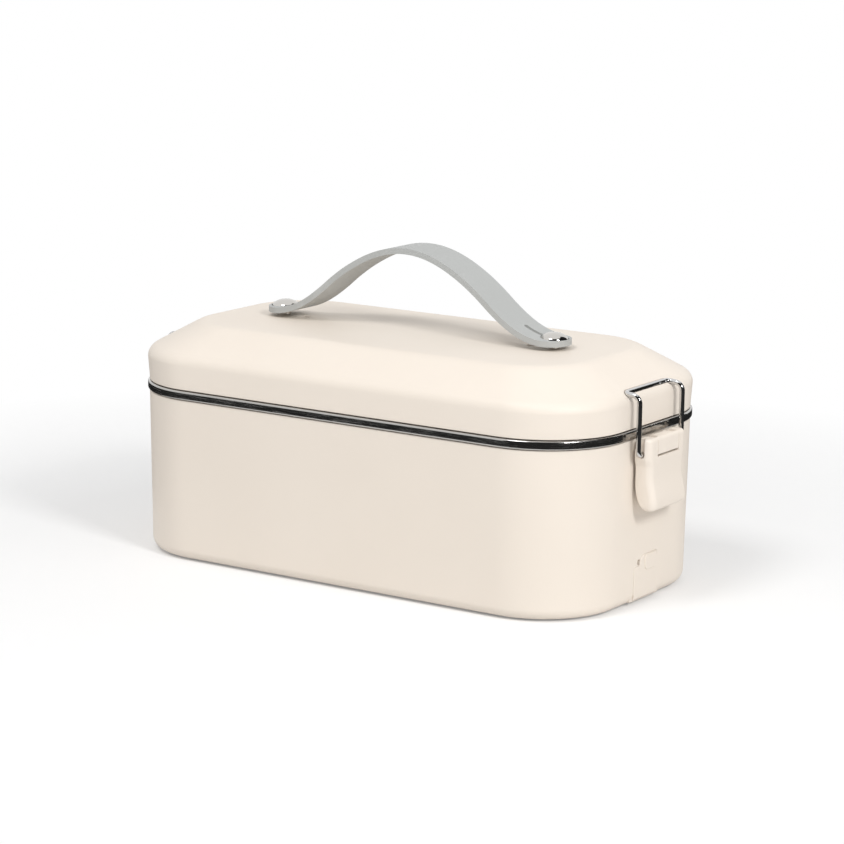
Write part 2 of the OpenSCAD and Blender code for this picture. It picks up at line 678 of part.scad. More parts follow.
module lid_liner() {
    color([0.9, 0.89, 0.86]) difference() {
        union() {
            inset_plate(liner_in, liner_z, liner_top);
            inset_frame(liner_in, gasket_in - 0.2, lid_low + 0.4, liner_z + 0.1);
            inset_frame(rib_in, rib_in + rib_t, lid_low + 0.4, liner_z + 0.1);
            inset_plate(panel_in, liner_z - panel_drop, liner_z + 0.1);
        }
        for (p = liner_screws_xy) translate([p.x, p.y, liner_z - panel_drop]) {
            translate([0, 0, -1]) cylinder(d = 3, h = 6);
            cylinder(d1 = 5.6, d2 = 3, h = 1.3);
        }
        for (x = [-vent_x, vent_x]) translate([x, 0, liner_z - 5]) cylinder(d = 3.2, h = 10);
    }
}
module lid_gasket() {
    lip = gasket_w / 3;
    color(seal_grey) {
        inset_frame(gasket_in, gasket_in + gasket_w, lid_low + 0.7, liner_z);
        inset_frame(gasket_in, gasket_in + lip, lid_low, lid_low + 0.8);
        inset_frame(gasket_in + gasket_w - lip, gasket_in + gasket_w, lid_low, lid_low + 0.8);
    }
}
module liner_screws() {
    color(steel) for (p = liner_screws_xy) translate([p.x, p.y, liner_z - panel_drop + 0.1])
        rotate([180, 0, 0]) screw(case_screw_d, case_screw_l, case_screw_head);
}

// Strap: a flat band that lies level at its ends and bows up between the studs
strap_low = lid_top + strap_gap;
strap_mid = strap_low + strap_t / 2;
// Share of the half pitch, and height there as a share of the rise
bow = [[0, 1], [0.14, 0.965], [0.28, 0.86], [0.42, 0.697], [0.533, 0.526], [0.631, 0.36],
    [0.722, 0.212], [0.813, 0.1], [0.905, 0.025], [1, 0]];
function spline(a, b, c, d, t) =
    0.5 * (2 * b + (c - a) * t + (2 * a - 5 * b + 4 * c - d) * t * t + (3 * b - a - 3 * c + d) * t * t * t);
function bow_point(i, t) =
    let (n = len(bow), a = i > 0 ? bow[i - 1] : [-bow[1].x, bow[1].y], d = i + 2 < n ? bow[i + 2] : [1.1, 0])
    spline(a, bow[i], bow[i + 1], d, t);
bow_steps = 3;
half_bow = [for (i = [0:len(bow) - 2], t = [0:bow_steps - 1])
    let (p = bow_point(i, t / bow_steps)) [p.x * stud_x, strap_mid + p.y * strap_rise, strap_w / 2]];
end_steps = 6;
strap_end = [for (i = [0:end_steps]) let (a = 89 * i / end_steps)
    [stud_x + strap_w / 2 * sin(a), strap_mid, strap_w / 2 * cos(a)]];
half_path = concat(half_bow, strap_end);
strap_path = concat(
    [for (p = flip(half_path)) [-p.x, p.y, p.z]], [for (i = [1:len(half_path) - 1]) half_path[i]]);
edge_soft = 0.7;
head_room = 0.6;
function strap_ring(p, before, after) =
    let (v = [after.x - before.x, after.y - before.y], d = v / norm(v), c = min(edge_soft, p.z * 0.8),
        e = min(edge_soft, strap_t * 0.4))
    [for (q = [0:3], a = [0, 45, 90])
        let (sy = q == 0 || q == 3 ? 1 : -1, sn = q < 2 ? 1 : -1,
            y = sy * (p.z - c) + c * cos(90 * q + a), n = sn * (strap_t / 2 - e) + e * sin(90 * q + a))
        [p.x - d.y * n, y, p.y + d.x * n]];
module handle_strap() {
    n = len(strap_path);
    color(strap_grey) difference() {
        loft([for (i = [0:n - 1])
            strap_ring(strap_path[i], strap_path[max(i - 1, 0)], strap_path[min(i + 1, n - 1)])]);
        for (s = [-1, 1]) translate([s * stud_x, 0, strap_low - 5]) {
            cylinder(d = shank_d + 0.3, h = strap_t + 10);
            translate([0, 0, 5 + strap_t - head_sunk]) cylinder(d = head_d + head_room, h = strap_rise);
            translate([s > 0 ? -slit_l : 0, -slit_w / 2, 0]) cube([slit_l, slit_w, strap_rise * 0.6 + 10]);
            translate([-s * slit_l, 0, 0]) cylinder(d = slit_w, h = strap_rise * 0.6 + 10);
        }
    }
}
washer_t = 1.2;
washer_d = shank_d + 6;
spacer_d = shank_d + 1.8;
nut_w = shank_d + 3.6;
nut_t = 2.4;
ceiling_z = lid_top - wall;
shank_past = 0.8;
head_rim = 0.5;
dome_steps = 6;
module handle_studs() {
    head_z = strap_low + strap_t - head_sunk;
    crown_z = strap_low + strap_t + head_h;
    shank_z = ceiling_z - washer_t - nut_t - shank_past;
    dome = head_h - head_rim;
    dome_r = (head_d * head_d / 4 + dome * dome) / (2 * dome);
    dome_a = asin(head_d / 2 / dome_r);
    profile = concat(
        [[0, shank_z], [shank_d / 2, shank_z], [shank_d / 2, head_z], [head_d / 2, head_z]],
        [for (i = [0:dome_steps]) let (a = dome_a * (1 - i / dome_steps))
            [dome_r * sin(a), crown_z - dome_r * (1 - cos(a))]]);
    color(steel) for (x = [-stud_x, stud_x]) translate([x, 0, 0]) rotate_extrude() polygon(profile);
}
module stud_ring(d, z, h, sides) {
    for (x = [-stud_x, stud_x]) translate([x, 0, z]) difference() {
        cylinder(d = d, h = h, $fn = sides);
        translate([0, 0, -1]) cylinder(d = shank_d + 2 * seat_gap, h = h + 2);
    }
}
module stud_spacers() {
    color(steel) stud_ring(spacer_d, lid_top, strap_gap, 48);
}
module stud_washers() {
    color(steel) stud_ring(washer_d, ceiling_z - washer_t, washer_t, 48);
}
module stud_nuts() {
    color(steel) stud_ring(nut_w, ceiling_z - washer_t - nut_t, nut_t, 6);
}

// Clasp at the +X end; the other end is the same, turned half a turn
leg_x = half_l + wire_out;
pin_x = half_l + lever_pin_out;
ear_r = lever_pin_d / 2 + 0.9;
ear_y = 6.4;
ear_t = 3.2;
cheek_t = 2.4;
wire_end_y = lever_w / 2 - cheek_t - 0.2;
lever_pin_l = lever_w - 4;
module across(x, z, d, w) {
    translate([x, 0, z]) rotate([90, 0, 0]) cylinder(d = d, h = w, center = true);
}
module latch_bracket() {
    color(cream) difference() {
        union() {
            translate([plate_back, -plate_w / 2, plate_low])
                cube([plate_t, plate_w, plate_high - plate_low]);
            for (m = [0, 1]) mirror([0, m, 0]) translate([0, ear_y + ear_t, 0]) rotate([90, 0, 0])
                linear_extrude(ear_t) {
                    translate([pin_x, lever_pin_z]) circle(ear_r);
                    polygon([[plate_back + 0.4, plate_low + 3], [plate_back + 0.4, plate_high],
                        [pin_x, lever_pin_z + ear_r], [pin_x + ear_r * 0.7, lever_pin_z - ear_r * 0.7]]);
                }
        }
        across(pin_x, lever_pin_z, lever_pin_d + 2 * seat_gap, lever_w);
        for (y = [-1, 1]) translate([plate_back, y * bracket_screw_y, bracket_screw_z]) rotate([0, 90, 0]) {
            translate([0, 0, -1]) cylinder(d = 2.2, h = 5);
            translate([0, 0, plate_t - 1]) cylinder(d1 = 2.2, d2 = 4.2, h = 1);
        }
    }
}
module bracket_screws() {
    color(steel) for (y = [-1, 1])
        translate([plate_back + plate_t - 0.1, y * bracket_screw_y, bracket_screw_z])
            rotate([0, 90, 0]) screw(1.96, 6, 3.8);
}
module latch_pin() {
    color(steel) across(pin_x, lever_pin_z, lever_pin_d, lever_pin_l);
}

// Lever sections: height above its lower end, back and front out from the casing, narrowing of the side
kick = 2;
waist = 1;
heel_h = 12;
heel_in = 6;
lever_h = lever_high - lever_low;
lever_back = 1.2;
upper_back = lever_pin_out - lever_pin_d / 2 - 0.7;
lever_step = wire_pivot_z + 2 - lever_low;
waist_top = wire_pivot_z - 5.7 - lever_low;
function heel(h) = lever_back + heel_in * (1 - sqrt(1 - pow(1 - min(h / heel_h, 1), 2)));
lever_rows = concat(
    [for (v = [[0, 0.1, 1.6], [0.35, 0.5, 0.8], [1.1, 0.85, 0.3], [2.4, 1, 0], [4.6, 0.9, 0], [7.5, 0.55, 0],
        [11, 0.2, 0], [15, 0, 0], [waist_top, 0, 0]]) [v.x, heel(v.x), lever_out + v.y * kick, waist + v.z]],
    [for (v = [[1, 0.85], [2, 0.5], [3, 0.15], [4, 0]])
        [waist_top + v.x, lever_back, lever_out, v.y * waist]],
    [[lever_step, lever_back, lever_out, 0], [lever_step + 0.4, upper_back, lever_out, 0],
    [lever_h - 1.7, upper_back, lever_out, 0], [lever_h - 0.7, upper_back + 0.3, lever_out - 0.4, 0.3],
    [lever_h, upper_back + 0.8, lever_out - 1.4, 1]]);
lever_side_round = 3.4;
lever_corner_steps = 5;
function lever_ring(row) =
    let (x0 = half_l + row[1], x1 = half_l + row[2], w = lever_w / 2 - row[3], z = lever_low + row[0],
        rf = min(lever_side_round, (x1 - x0) * 0.6), rb = 0.5)
    [for (q = [0:3], i = [0:lever_corner_steps])
        let (front = q == 0 || q == 3, r = front ? rf : rb, cx = front ? x1 - rf : x0 + rb,
            cy = (q < 2 ? 1 : -1) * (w - r), a = 90 * q + 90 * i / lever_corner_steps)
        [cx + r * cos(a), cy + r * sin(a), z]];
front_t = 1.5;
lever_floor = 6;
lever_roof = 1;
lever_slot_w = 18.2;
lever_slot_h = 0.9;
lever_slot_z = 66.4;
seam = 0.3;
module latch_lever() {
    inner_w = lever_w - 2 * cheek_t;
    recess = 1;
    recess_r = wire_d / 2 + 0.3;
    front_x = half_l + lever_out;
    color(cream) difference() {
        loft([for (row = lever_rows) lever_ring(row)]);
        translate([half_l - 1, -inner_w / 2, lever_low + lever_floor])
            cube([lever_out + 1 - front_t, inner_w, lever_h - lever_floor - lever_roof]);
        for (s = [-1, 1]) translate([half_l - 1, s * (ear_y + ear_t / 2) - ear_t / 2 - fit, lever_pin_z])
            cube([lever_out + 1 - front_t, ear_t + 2 * fit, 5]);
        for (m = [0, 1]) mirror([0, m, 0]) {
            translate([leg_x, lever_w / 2 + 4, wire_pivot_z]) rotate([90, 0, 0])
                cylinder(r = recess_r, h = 4 + recess);
            translate([leg_x - recess_r, lever_w / 2 - recess, wire_pivot_z]) cube([2 * recess_r, 5, 10]);
        }
        across(leg_x, wire_pivot_z, wire_d + 2 * run_gap, lever_w + 4);
        across(pin_x, lever_pin_z, lever_pin_d + 2 * run_gap, lever_pin_l + 0.4);
        translate([front_x - front_t - 0.5, -lever_slot_w / 2, lever_slot_z])
            cube([front_t + 2, lever_slot_w, lever_slot_h]);
        for (s = [-1, 1])
            translate([front_x - 0.3, s * (lever_slot_w - seam) / 2 - seam / 2, lever_slot_z])
                cube([2, seam, 12]);
    }
}

// Wire loop: crossbar, two arms, two legs and two ends that turn in the lever
bar_bend = 2.5;
arm_bend = 3;
foot_bend = 2.2;
module elbow(r) {
    rotate_extrude(angle = 90) translate([r, 0]) circle(d = wire_d);
}
module rod(from, along, l) {
    translate(from) rotate(along) cylinder(d = wire_d, h = l);
}
module half_wire() {
    y = wire_pitch / 2;
    bar_x = half_l - crossbar_in;
    rod([bar_x, -y + bar_bend, crossbar_z], [-90, 0, 0], y - bar_bend);
    translate([bar_x + bar_bend, -y + bar_bend, crossbar_z]) rotate(180) elbow(bar_bend);
    rod([bar_x + bar_bend, -y, crossbar_z], [0, 90, 0], leg_x - arm_bend - bar_x - bar_bend);
    translate([leg_x - arm_bend, -y, crossbar_z - arm_bend]) rotate([90, 0, 0]) elbow(arm_bend);
    rod([leg_x, -y, wire_pivot_z + foot_bend], [0, 0, 0], crossbar_z - arm_bend - wire_pivot_z - foot_bend);
    translate([leg_x, -y + foot_bend, wire_pivot_z + foot_bend]) rotate([180, 0, 0]) rotate([90, 0, 90])
        elbow(foot_bend);
    rod([leg_x, -y + foot_bend, wire_pivot_z], [-90, 0, 0], y - foot_bend - wire_end_y);
}
module latch_wire() {
    color(steel) {
        half_wire();
        mirror([0, 1, 0]) half_wire();
    }
}
module right_latch_bracket() { latch_bracket(); }
module left_latch_bracket() { other_end() latch_bracket(); }
module right_bracket_screws() { bracket_screws(); }
module left_bracket_screws() { other_end() bracket_screws(); }
module right_latch_pin() { latch_pin(); }
module left_latch_pin() { other_end() latch_pin(); }
module right_latch_lever() { latch_lever(); }
module left_latch_lever() { other_end() latch_lever(); }
module right_latch_wire() { latch_wire(); }
module left_latch_wire() { other_end() latch_wire(); }

base_shell();
bottom_cover();
bottom_screws();
rubber_feet();
heater_well();
well_seal();
well_screws();
heater_plate();
plate_nuts();
heater_block();
heater_clamp();
clamp_screws();
thermostat();
thermal_fuse();
internal_leads();
inlet_socket();
contact_pins();
inlet_screws();
inlet_cover();
inlet_cover_pin();
food_tray();
lid_shell();
lid_liner();
lid_gasket();
liner_screws();
handle_strap();
handle_studs();
stud_spacers();
stud_washers();
stud_nuts();
right_latch_bracket();
left_latch_bracket();
right_bracket_screws();
left_bracket_screws();
right_latch_pin();
left_latch_pin();
right_latch_lever();
left_latch_lever();
right_latch_wire();
left_latch_wire();
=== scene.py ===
"""Looks of an electric lunch box, modelled around its packed construction. Sizes are in metres."""

import math
from typing import NamedTuple

import bmesh
import bpy
from bpy.props import FloatProperty, FloatVectorProperty, PointerProperty
from bpy.types import Operator, Panel, PropertyGroup
from mathutils import Matrix, Vector


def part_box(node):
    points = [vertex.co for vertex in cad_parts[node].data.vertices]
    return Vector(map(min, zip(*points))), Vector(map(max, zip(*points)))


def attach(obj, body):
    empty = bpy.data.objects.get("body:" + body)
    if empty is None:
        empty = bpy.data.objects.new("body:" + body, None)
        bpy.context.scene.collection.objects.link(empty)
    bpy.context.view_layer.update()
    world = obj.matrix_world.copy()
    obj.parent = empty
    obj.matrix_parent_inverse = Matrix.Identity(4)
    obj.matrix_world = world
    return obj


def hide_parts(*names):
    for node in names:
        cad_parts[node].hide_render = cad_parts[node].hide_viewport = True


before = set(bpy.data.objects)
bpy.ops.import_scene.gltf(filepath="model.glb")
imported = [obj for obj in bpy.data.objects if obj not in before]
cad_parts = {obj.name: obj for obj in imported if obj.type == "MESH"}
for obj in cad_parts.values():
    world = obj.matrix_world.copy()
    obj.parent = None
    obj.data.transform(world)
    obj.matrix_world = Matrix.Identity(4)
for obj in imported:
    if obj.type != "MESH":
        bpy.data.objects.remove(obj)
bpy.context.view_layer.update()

bl_info = {
    "name": "Electric Lunch Box",
    "version": (1, 0, 0),
    "blender": (4, 5, 0),
    "location": "3D View > Sidebar > Lunch Box",
    "description": "Casings, tray, strap, clasps and finishes of an electric lunch box",
    "category": "Object",
}

MM = 0.001
BASE_LOW, BASE_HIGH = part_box("base_shell")
TRAY_LOW, TRAY_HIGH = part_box("food_tray")
LID_LOW, LID_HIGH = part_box("lid_shell")
STRAP_LOW, STRAP_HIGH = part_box("handle_strap")
SPACER_LOW, SPACER_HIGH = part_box("stud_spacers")
STUD_LOW, STUD_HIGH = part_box("handle_studs")
LEVER_LOW, LEVER_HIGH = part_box("right_latch_lever")
LEVER_PIN_LOW, LEVER_PIN_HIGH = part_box("right_latch_pin")
WIRE_LOW, WIRE_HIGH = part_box("right_latch_wire")
FLAP_LOW, FLAP_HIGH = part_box("inlet_cover")


def length(name, description, default):
    """A size that a user may change."""
    return FloatProperty(
        name=name, description=description, default=default, min=0, precision=5, unit="LENGTH",
        subtype="DISTANCE")


def colour(name, description, default):
    """A colour that a user may change, in linear red, green and blue."""
    return FloatVectorProperty(
        name=name, description=description, default=default, size=3, min=0, max=1, subtype="COLOR")


class CasingSizes(PropertyGroup):
    length: length("Length", "Overall length of the casing", BASE_HIGH.x - BASE_LOW.x)
    width: length("Width", "Overall width of the casing", BASE_HIGH.y - BASE_LOW.y)
    corner: length("Corner radius", "Corner radius seen from above", 38 * MM)
    wall: length("Wall", "Wall thickness of both casings", 2.5 * MM)
    bottom_round: length("Bottom rounding", "Rounding of the lower casing's bottom edge", 4.8 * MM)
    lean: FloatProperty(
        name="Lean", description="Lean of the lower casing's walls", default=math.radians(0.95),
        unit="ROTATION", subtype="ANGLE")


class LidSizes(PropertyGroup):
    shoulder: length("Shoulder height", "Height of the corner between wall and slope", 92.2 * MM)
    shoulder_corner: length("Shoulder corner", "Corner radius at the shoulder", 36.2 * MM)
    top_length: length("Top length", "Length of the flat top", 199 * MM)
    top_width: length("Top width", "Width of the flat top", 89.2 * MM)
    top_corner: length("Top corner", "Corner radius of the flat top", 28.3 * MM)
    shoulder_round: length("Shoulder rounding", "Depth of the rounding at the shoulder", 3.45 * MM)
    top_round: length("Top rounding", "Depth of the rounding round the flat top", 2.85 * MM)


class StrapSizes(PropertyGroup):
    width: length("Width", "Width of the strap", STRAP_HIGH.y - STRAP_LOW.y)
    thickness: length("Thickness", "Thickness of the strap", 2.6 * MM)
    slit_length: length("Slit length", "Length of the slit inward from each stud", 16.5 * MM)
    slit_width: length("Slit width", "Width of that slit", 2.4 * MM)
    head: length("Stud head", "Diameter of the domed stud heads", STUD_HIGH.y - STUD_LOW.y)


class ClaspSizes(PropertyGroup):
    wire: length("Wire", "Diameter of the clasp wire", 2.3 * MM)
    slot_width: length("Slot width", "Width of the slot across a lever's front", 18.2 * MM)
    slot_height: length("Slot height", "Height of that slot", 0.9 * MM)


class FinishColours(PropertyGroup):
    casing: colour("Casing", "Cream of the casings, levers and flap", (0.868, 0.786, 0.695))
    liner: colour("Liner", "Plastic of the lid's liner", (0.8, 0.765, 0.7))
    strap: colour("Strap", "Grey of the handle strap", (0.475, 0.485, 0.475))
    steel: colour("Steel", "Stainless steel of the tray", (0.48, 0.47, 0.455))
    wire: colour("Wire", "Drawn steel of the clasps", (0.62, 0.62, 0.62))
    stud: colour("Stud", "Polished studs", (0.62, 0.6, 0.57))
    aluminium: colour("Aluminium", "Heater well and heater plate", (0.76, 0.77, 0.78))
    zinc: colour("Zinc", "Plated screws, nuts and washers", (0.6, 0.61, 0.63))
    brass: colour("Brass", "Contacts", (0.75, 0.58, 0.3))
    silicone: colour("Silicone", "Gasket and seal", (0.72, 0.72, 0.68))
    ceramic: colour("Ceramic", "Heater block and fuse", (0.68, 0.64, 0.54))
    sleeve: colour("Sleeve", "Glass-fibre sleeve of the leads", (0.66, 0.63, 0.54))
    black: colour("Black", "Inlet socket and thermostat", (0.02, 0.02, 0.022))
    rubber: colour("Rubber", "Rubber feet", (0.035, 0.035, 0.037))


class LunchBox(PropertyGroup):
    casing: PointerProperty(type=CasingSizes)
    lid: PointerProperty(type=LidSizes)
    strap: PointerProperty(type=StrapSizes)
    clasp: PointerProperty(type=ClaspSizes)
    colours: PointerProperty(type=FinishColours)


def box():
    """The settings of the lunch box."""
    return bpy.context.scene.lunch_box


# Shared mesh work


class Ring(NamedTuple):
    """A rounded rectangle at a height."""

    length: float
    width: float
    radius: float
    height: float


CORNER_STEPS = 18
TURN_STEPS = 48
SAME_POINT = 1e-7
SHARP_ANGLE = math.radians(34)


def edges_of(geometry):
    return [g for g in geometry if isinstance(g, bmesh.types.BMEdge)]


def verts_of(geometry):
    return [g for g in geometry if isinstance(g, bmesh.types.BMVert)]


def round_corners(mesh, corners, radius, steps):
    """Rounds corners of a flat outline."""
    bmesh.ops.bevel(
        mesh, geom=corners, offset=radius, segments=steps, profile=0.5, affect="VERTICES",
        material=-1)


def rotate(mesh, verts, angle, axis):
    """Turns vertices about an axis through the middle of the box."""
    bmesh.ops.rotate(
        mesh, cent=(0, 0, 0), matrix=Matrix.Rotation(angle, 3, axis), verts=verts)


def first_loop(mesh, ring, steps=CORNER_STEPS):
    """Edges of a rounded rectangle, made from a square whose corners are beveled."""
    verts = bmesh.ops.create_grid(mesh, x_segments=1, y_segments=1, size=0.5)["verts"]
    bmesh.ops.scale(mesh, vec=(ring.length, ring.width, 1), verts=verts)
    round_corners(mesh, verts, ring.radius, steps)
    bmesh.ops.delete(mesh, geom=mesh.faces[:], context="FACES_ONLY")
    bmesh.ops.translate(mesh, vec=(0, 0, ring.height), verts=mesh.verts[:])
    return mesh.edges[:]


def refit(value, old_half, new_half, old_radius, new_radius):
    """A coordinate moved with its corner from one rounded rectangle to another."""
    core = old_half - old_radius
    past = max(abs(value) - core, 0)
    moved = new_half - new_radius + past * new_radius / old_radius
    return math.copysign(moved, value)


def next_loop(mesh, edges, old, new):
    """Extrudes a loop and fits it to the next ring."""
    made = bmesh.ops.extrude_edge_only(mesh, edges=edges)["geom"]
    for v in verts_of(made):
        v.co.x = refit(v.co.x, old.length / 2, new.length / 2, old.radius, new.radius)
        v.co.y = refit(v.co.y, old.width / 2, new.width / 2, old.radius, new.radius)
        v.co.z = new.height
    return edges_of(made)


def lofted(rings, closed=False, steps=CORNER_STEPS):
    """A mesh through rings, joined end to end where closed, and capped at both ends otherwise."""
    mesh = bmesh.new()
    start = edges = first_loop(mesh, rings[0], steps)
    for old, new in zip(rings, rings[1:]):
        edges = next_loop(mesh, edges, old, new)
    if closed:
        bmesh.ops.bridge_loops(mesh, edges=start + edges)
    else:
        for loop in (start, edges):
            bmesh.ops.contextual_create(mesh, geom=loop)
    bmesh.ops.recalc_face_normals(mesh, faces=mesh.faces[:])
    return mesh


def block(low, high):
    """A box between two corners."""
    mesh = bmesh.new()
    verts = bmesh.ops.create_cube(mesh, size=1)["verts"]
    low, high = Vector(low), Vector(high)
    bmesh.ops.scale(mesh, vec=high - low, verts=verts)
    bmesh.ops.translate(mesh, vec=(low + high) / 2, verts=verts)
    return mesh


def prism(points, axis, low, high, rounds=()):
    """A flat outline, its corners rounded as (index, radius, steps), extruded along an axis."""
    mesh = bmesh.new()
    verts = [mesh.verts.new(p) for p in points]
    mesh.faces.new(verts)
    for index, radius, steps in rounds:
        round_corners(mesh, [verts[index]], radius, steps)
    along = Vector([1.0 if a == axis else 0.0 for a in "xyz"])
    bmesh.ops.translate(mesh, vec=along * low, verts=mesh.verts[:])
    made = bmesh.ops.extrude_face_region(mesh, geom=mesh.faces[:])["geom"]
    bmesh.ops.translate(mesh, vec=along * (high - low), verts=verts_of(made))
    bmesh.ops.recalc_face_normals(mesh, faces=mesh.faces[:])
    return mesh


def rod(radius, start, end, steps=32):
    """A round bar between two points."""
    start, end = Vector(start), Vector(end)
    mesh = bmesh.new()
    bmesh.ops.create_cone(
        mesh, cap_ends=True, segments=steps, radius1=radius, radius2=radius,
        depth=(end - start).length)
    turn = Vector((0, 0, 1)).rotation_difference(end - start).to_matrix()
    bmesh.ops.rotate(mesh, cent=(0, 0, 0), matrix=turn, verts=mesh.verts[:])
    bmesh.ops.translate(mesh, vec=(start + end) / 2, verts=mesh.verts[:])
    return mesh


def turned(outline, x):
    """A body of revolution about the upright axis at x, from (radius, height) points."""
    mesh = bmesh.new()
    verts = [mesh.verts.new((r, 0, z)) for r, z in outline]
    edges = [mesh.edges.new(pair) for pair in zip(verts, verts[1:])]
    bmesh.ops.spin(
        mesh, geom=verts + edges, cent=(0, 0, 0), axis=(0, 0, 1), angle=2 * math.pi, steps=TURN_STEPS,
        use_merge=True)
    bmesh.ops.remove_doubles(mesh, verts=mesh.verts[:], dist=SAME_POINT)
    bmesh.ops.recalc_face_normals(mesh, faces=mesh.faces[:])
    bmesh.ops.translate(mesh, vec=(x, 0, 0), verts=mesh.verts[:])
    return mesh


def as_object(mesh, name):
    data = bpy.data.meshes.new(name)
    mesh.to_mesh(data)
    mesh.free()
    made = bpy.data.objects.new(name, data)
    bpy.context.scene.collection.objects.link(made)
    return made


def carved(mesh, *tools, how="DIFFERENCE"):
    """The mesh after tool meshes are cut from it or joined to it, one after another."""
    for tool in tools:
        body, cutter = as_object(mesh, "body_blank"), as_object(tool, "cutter_blank")
        step = body.modifiers.new("Carve", "BOOLEAN")
        step.operation = how
        step.solver = "EXACT"
        step.object = cutter
        graph = bpy.context.evaluated_depsgraph_get()
        mesh = bmesh.new()
        mesh.from_object(body, graph)
        for spare in (body, cutter):
            data = spare.data
            bpy.data.objects.remove(spare)
            bpy.data.meshes.remove(data)
        bmesh.ops.remove_doubles(mesh, verts=mesh.verts[:], dist=SAME_POINT)
    return mesh


def soften(mesh, edges, radius, steps=3):
    """Rounds the given edges."""
    bmesh.ops.bevel(
        mesh, geom=edges, offset=radius, segments=steps, profile=0.5, affect="EDGES", material=-1,
        clamp_overlap=True)


def joined(meshes):
    """Several closed meshes in one."""
    result = bmesh.new()
    for mesh in meshes:
        data = bpy.data.meshes.new("part_blank")
        mesh.to_mesh(data)
        mesh.free()
        result.from_mesh(data)
        bpy.data.meshes.remove(data)
    return result


def half_turn(mesh):
    """The same mesh at the other end of the box."""
    other = mesh.copy()
    rotate(other, other.verts[:], math.pi, "Z")
    return other


def finished(mesh, name, body, finish, stands_for):
    """Turns a mesh into a shown piece that rides on a body and stands for its construction nodes."""
    made = as_object(mesh, name)
    made.data.shade_smooth()
    made.data.set_sharp_from_angle(angle=SHARP_ANGLE)
    made.data.materials.append(finish_of(finish))
    even = made.modifiers.new("Even shading", "WEIGHTED_NORMAL")
    even.keep_sharp = True
    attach(made, body)
    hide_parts(*stands_for)


# Shader groups that more than one finish uses


def new_group(name, inputs, outputs):
    """An empty shader group with named sockets, and its input and output nodes."""
    group = bpy.data.node_groups.new(name, "ShaderNodeTree")
    for label, kind, value in inputs:
        socket = group.interface.new_socket(label, in_out="INPUT", socket_type=kind)
        socket.default_value = value
    for label, kind in outputs:
        group.interface.new_socket(label, in_out="OUTPUT", socket_type=kind)
    return group, group.nodes.new("NodeGroupInput"), group.nodes.new("NodeGroupOutput")


def fill(tree, socket, value):
    """Fills a socket by a link or by a value."""
    if isinstance(value, bpy.types.NodeSocket):
        tree.links.new(value, socket)
    else:
        socket.default_value = value


def put(tree, kind, settings=None, **values):
    """A node with its settings, and its sockets filled by value or by a link."""
    node = tree.nodes.new(kind)
    for key, value in (settings or {}).items():
        setattr(node, key, value)
    for key, value in values.items():
        numbered = key[0] == "i" and key[1:].isdigit()
        fill(tree, node.inputs[int(key[1:])] if numbered else node.inputs[key], value)
    return node


def calc(tree, operation, *values):
    """A math node's value."""
    node = put(
        tree, "ShaderNodeMath", {"operation": operation}, **{f"i{k}": v for k, v in enumerate(values)})
    return node.outputs[0]


def spread(tree, value, low, high, to_low, to_high):
    """A value moved from one range to another, held at the ends."""
    node = put(
        tree, "ShaderNodeMapRange", **{
            "Value": value, "From Min": low, "From Max": high, "To Min": to_low, "To Max": to_high})
    return node.outputs["Result"]


def blended(tree, share, first, second):
    """Two colours mixed."""
    node = tree.nodes.new("ShaderNodeMix")
    node.data_type = "RGBA"
    for name, value in (("Factor_Float", share), ("A_Color", first), ("B_Color", second)):
        fill(tree, next(s for s in node.inputs if s.identifier == name), value)
    return next(s for s in node.outputs if s.identifier == "Result_Color")


def noise(tree, vector, scale, detail=2.0, roughness=0.5):
    node = put(
        tree, "ShaderNodeTexNoise", Vector=vector, Scale=scale, Detail=detail,
        Roughness=roughness)
    return node.outputs["Fac"]


def make_moulded_group():
    """Moulded plastic: a fine spark-eroded grain, faint flow shades and a changing sheen."""
    group, source, result = new_group(
        "Moulded surface",
        [("Colour", "NodeSocketColor", (0.8, 0.8, 0.8, 1)), ("Shade", "NodeSocketFloat", 0.03),
         ("Grain", "NodeSocketFloat", 1800.0), ("Roughness", "NodeSocketFloat", 0.5)],
        [("Colour", "NodeSocketColor"), ("Roughness", "NodeSocketFloat"),
         ("Height", "NodeSocketFloat")])
    place = put(group, "ShaderNodeTexCoord").outputs["Object"]
    flow = noise(group, place, 14.0, 3.0)
    grain = noise(group, place, source.outputs["Grain"], 3.0, 0.6)
    pits = put(
        group, "ShaderNodeTexVoronoi", {"feature": "SMOOTH_F1"}, Vector=place,
        Scale=calc(group, "MULTIPLY", source.outputs["Grain"], 0.45)).outputs["Distance"]
    darker = put(
        group, "ShaderNodeHueSaturation", Color=source.outputs["Colour"], Value=0.93,
        Saturation=1.08).outputs["Color"]
    share = calc(group, "MULTIPLY", spread(group, flow, 0.35, 0.7, 0, 1), source.outputs["Shade"])
    speck = calc(
        group, "MULTIPLY", spread(group, grain, 0.62, 0.8, 0, 1), source.outputs["Shade"])
    tint = blended(group, calc(group, "ADD", share, speck), source.outputs["Colour"], darker)
    group.links.new(tint, result.inputs["Colour"])
    sheen = spread(group, flow, 0.3, 0.7, -0.04, 0.04)
    group.links.new(
        calc(group, "ADD", source.outputs["Roughness"], sheen), result.inputs["Roughness"])
    group.links.new(calc(group, "ADD", grain, pits), result.inputs["Height"])
    return group


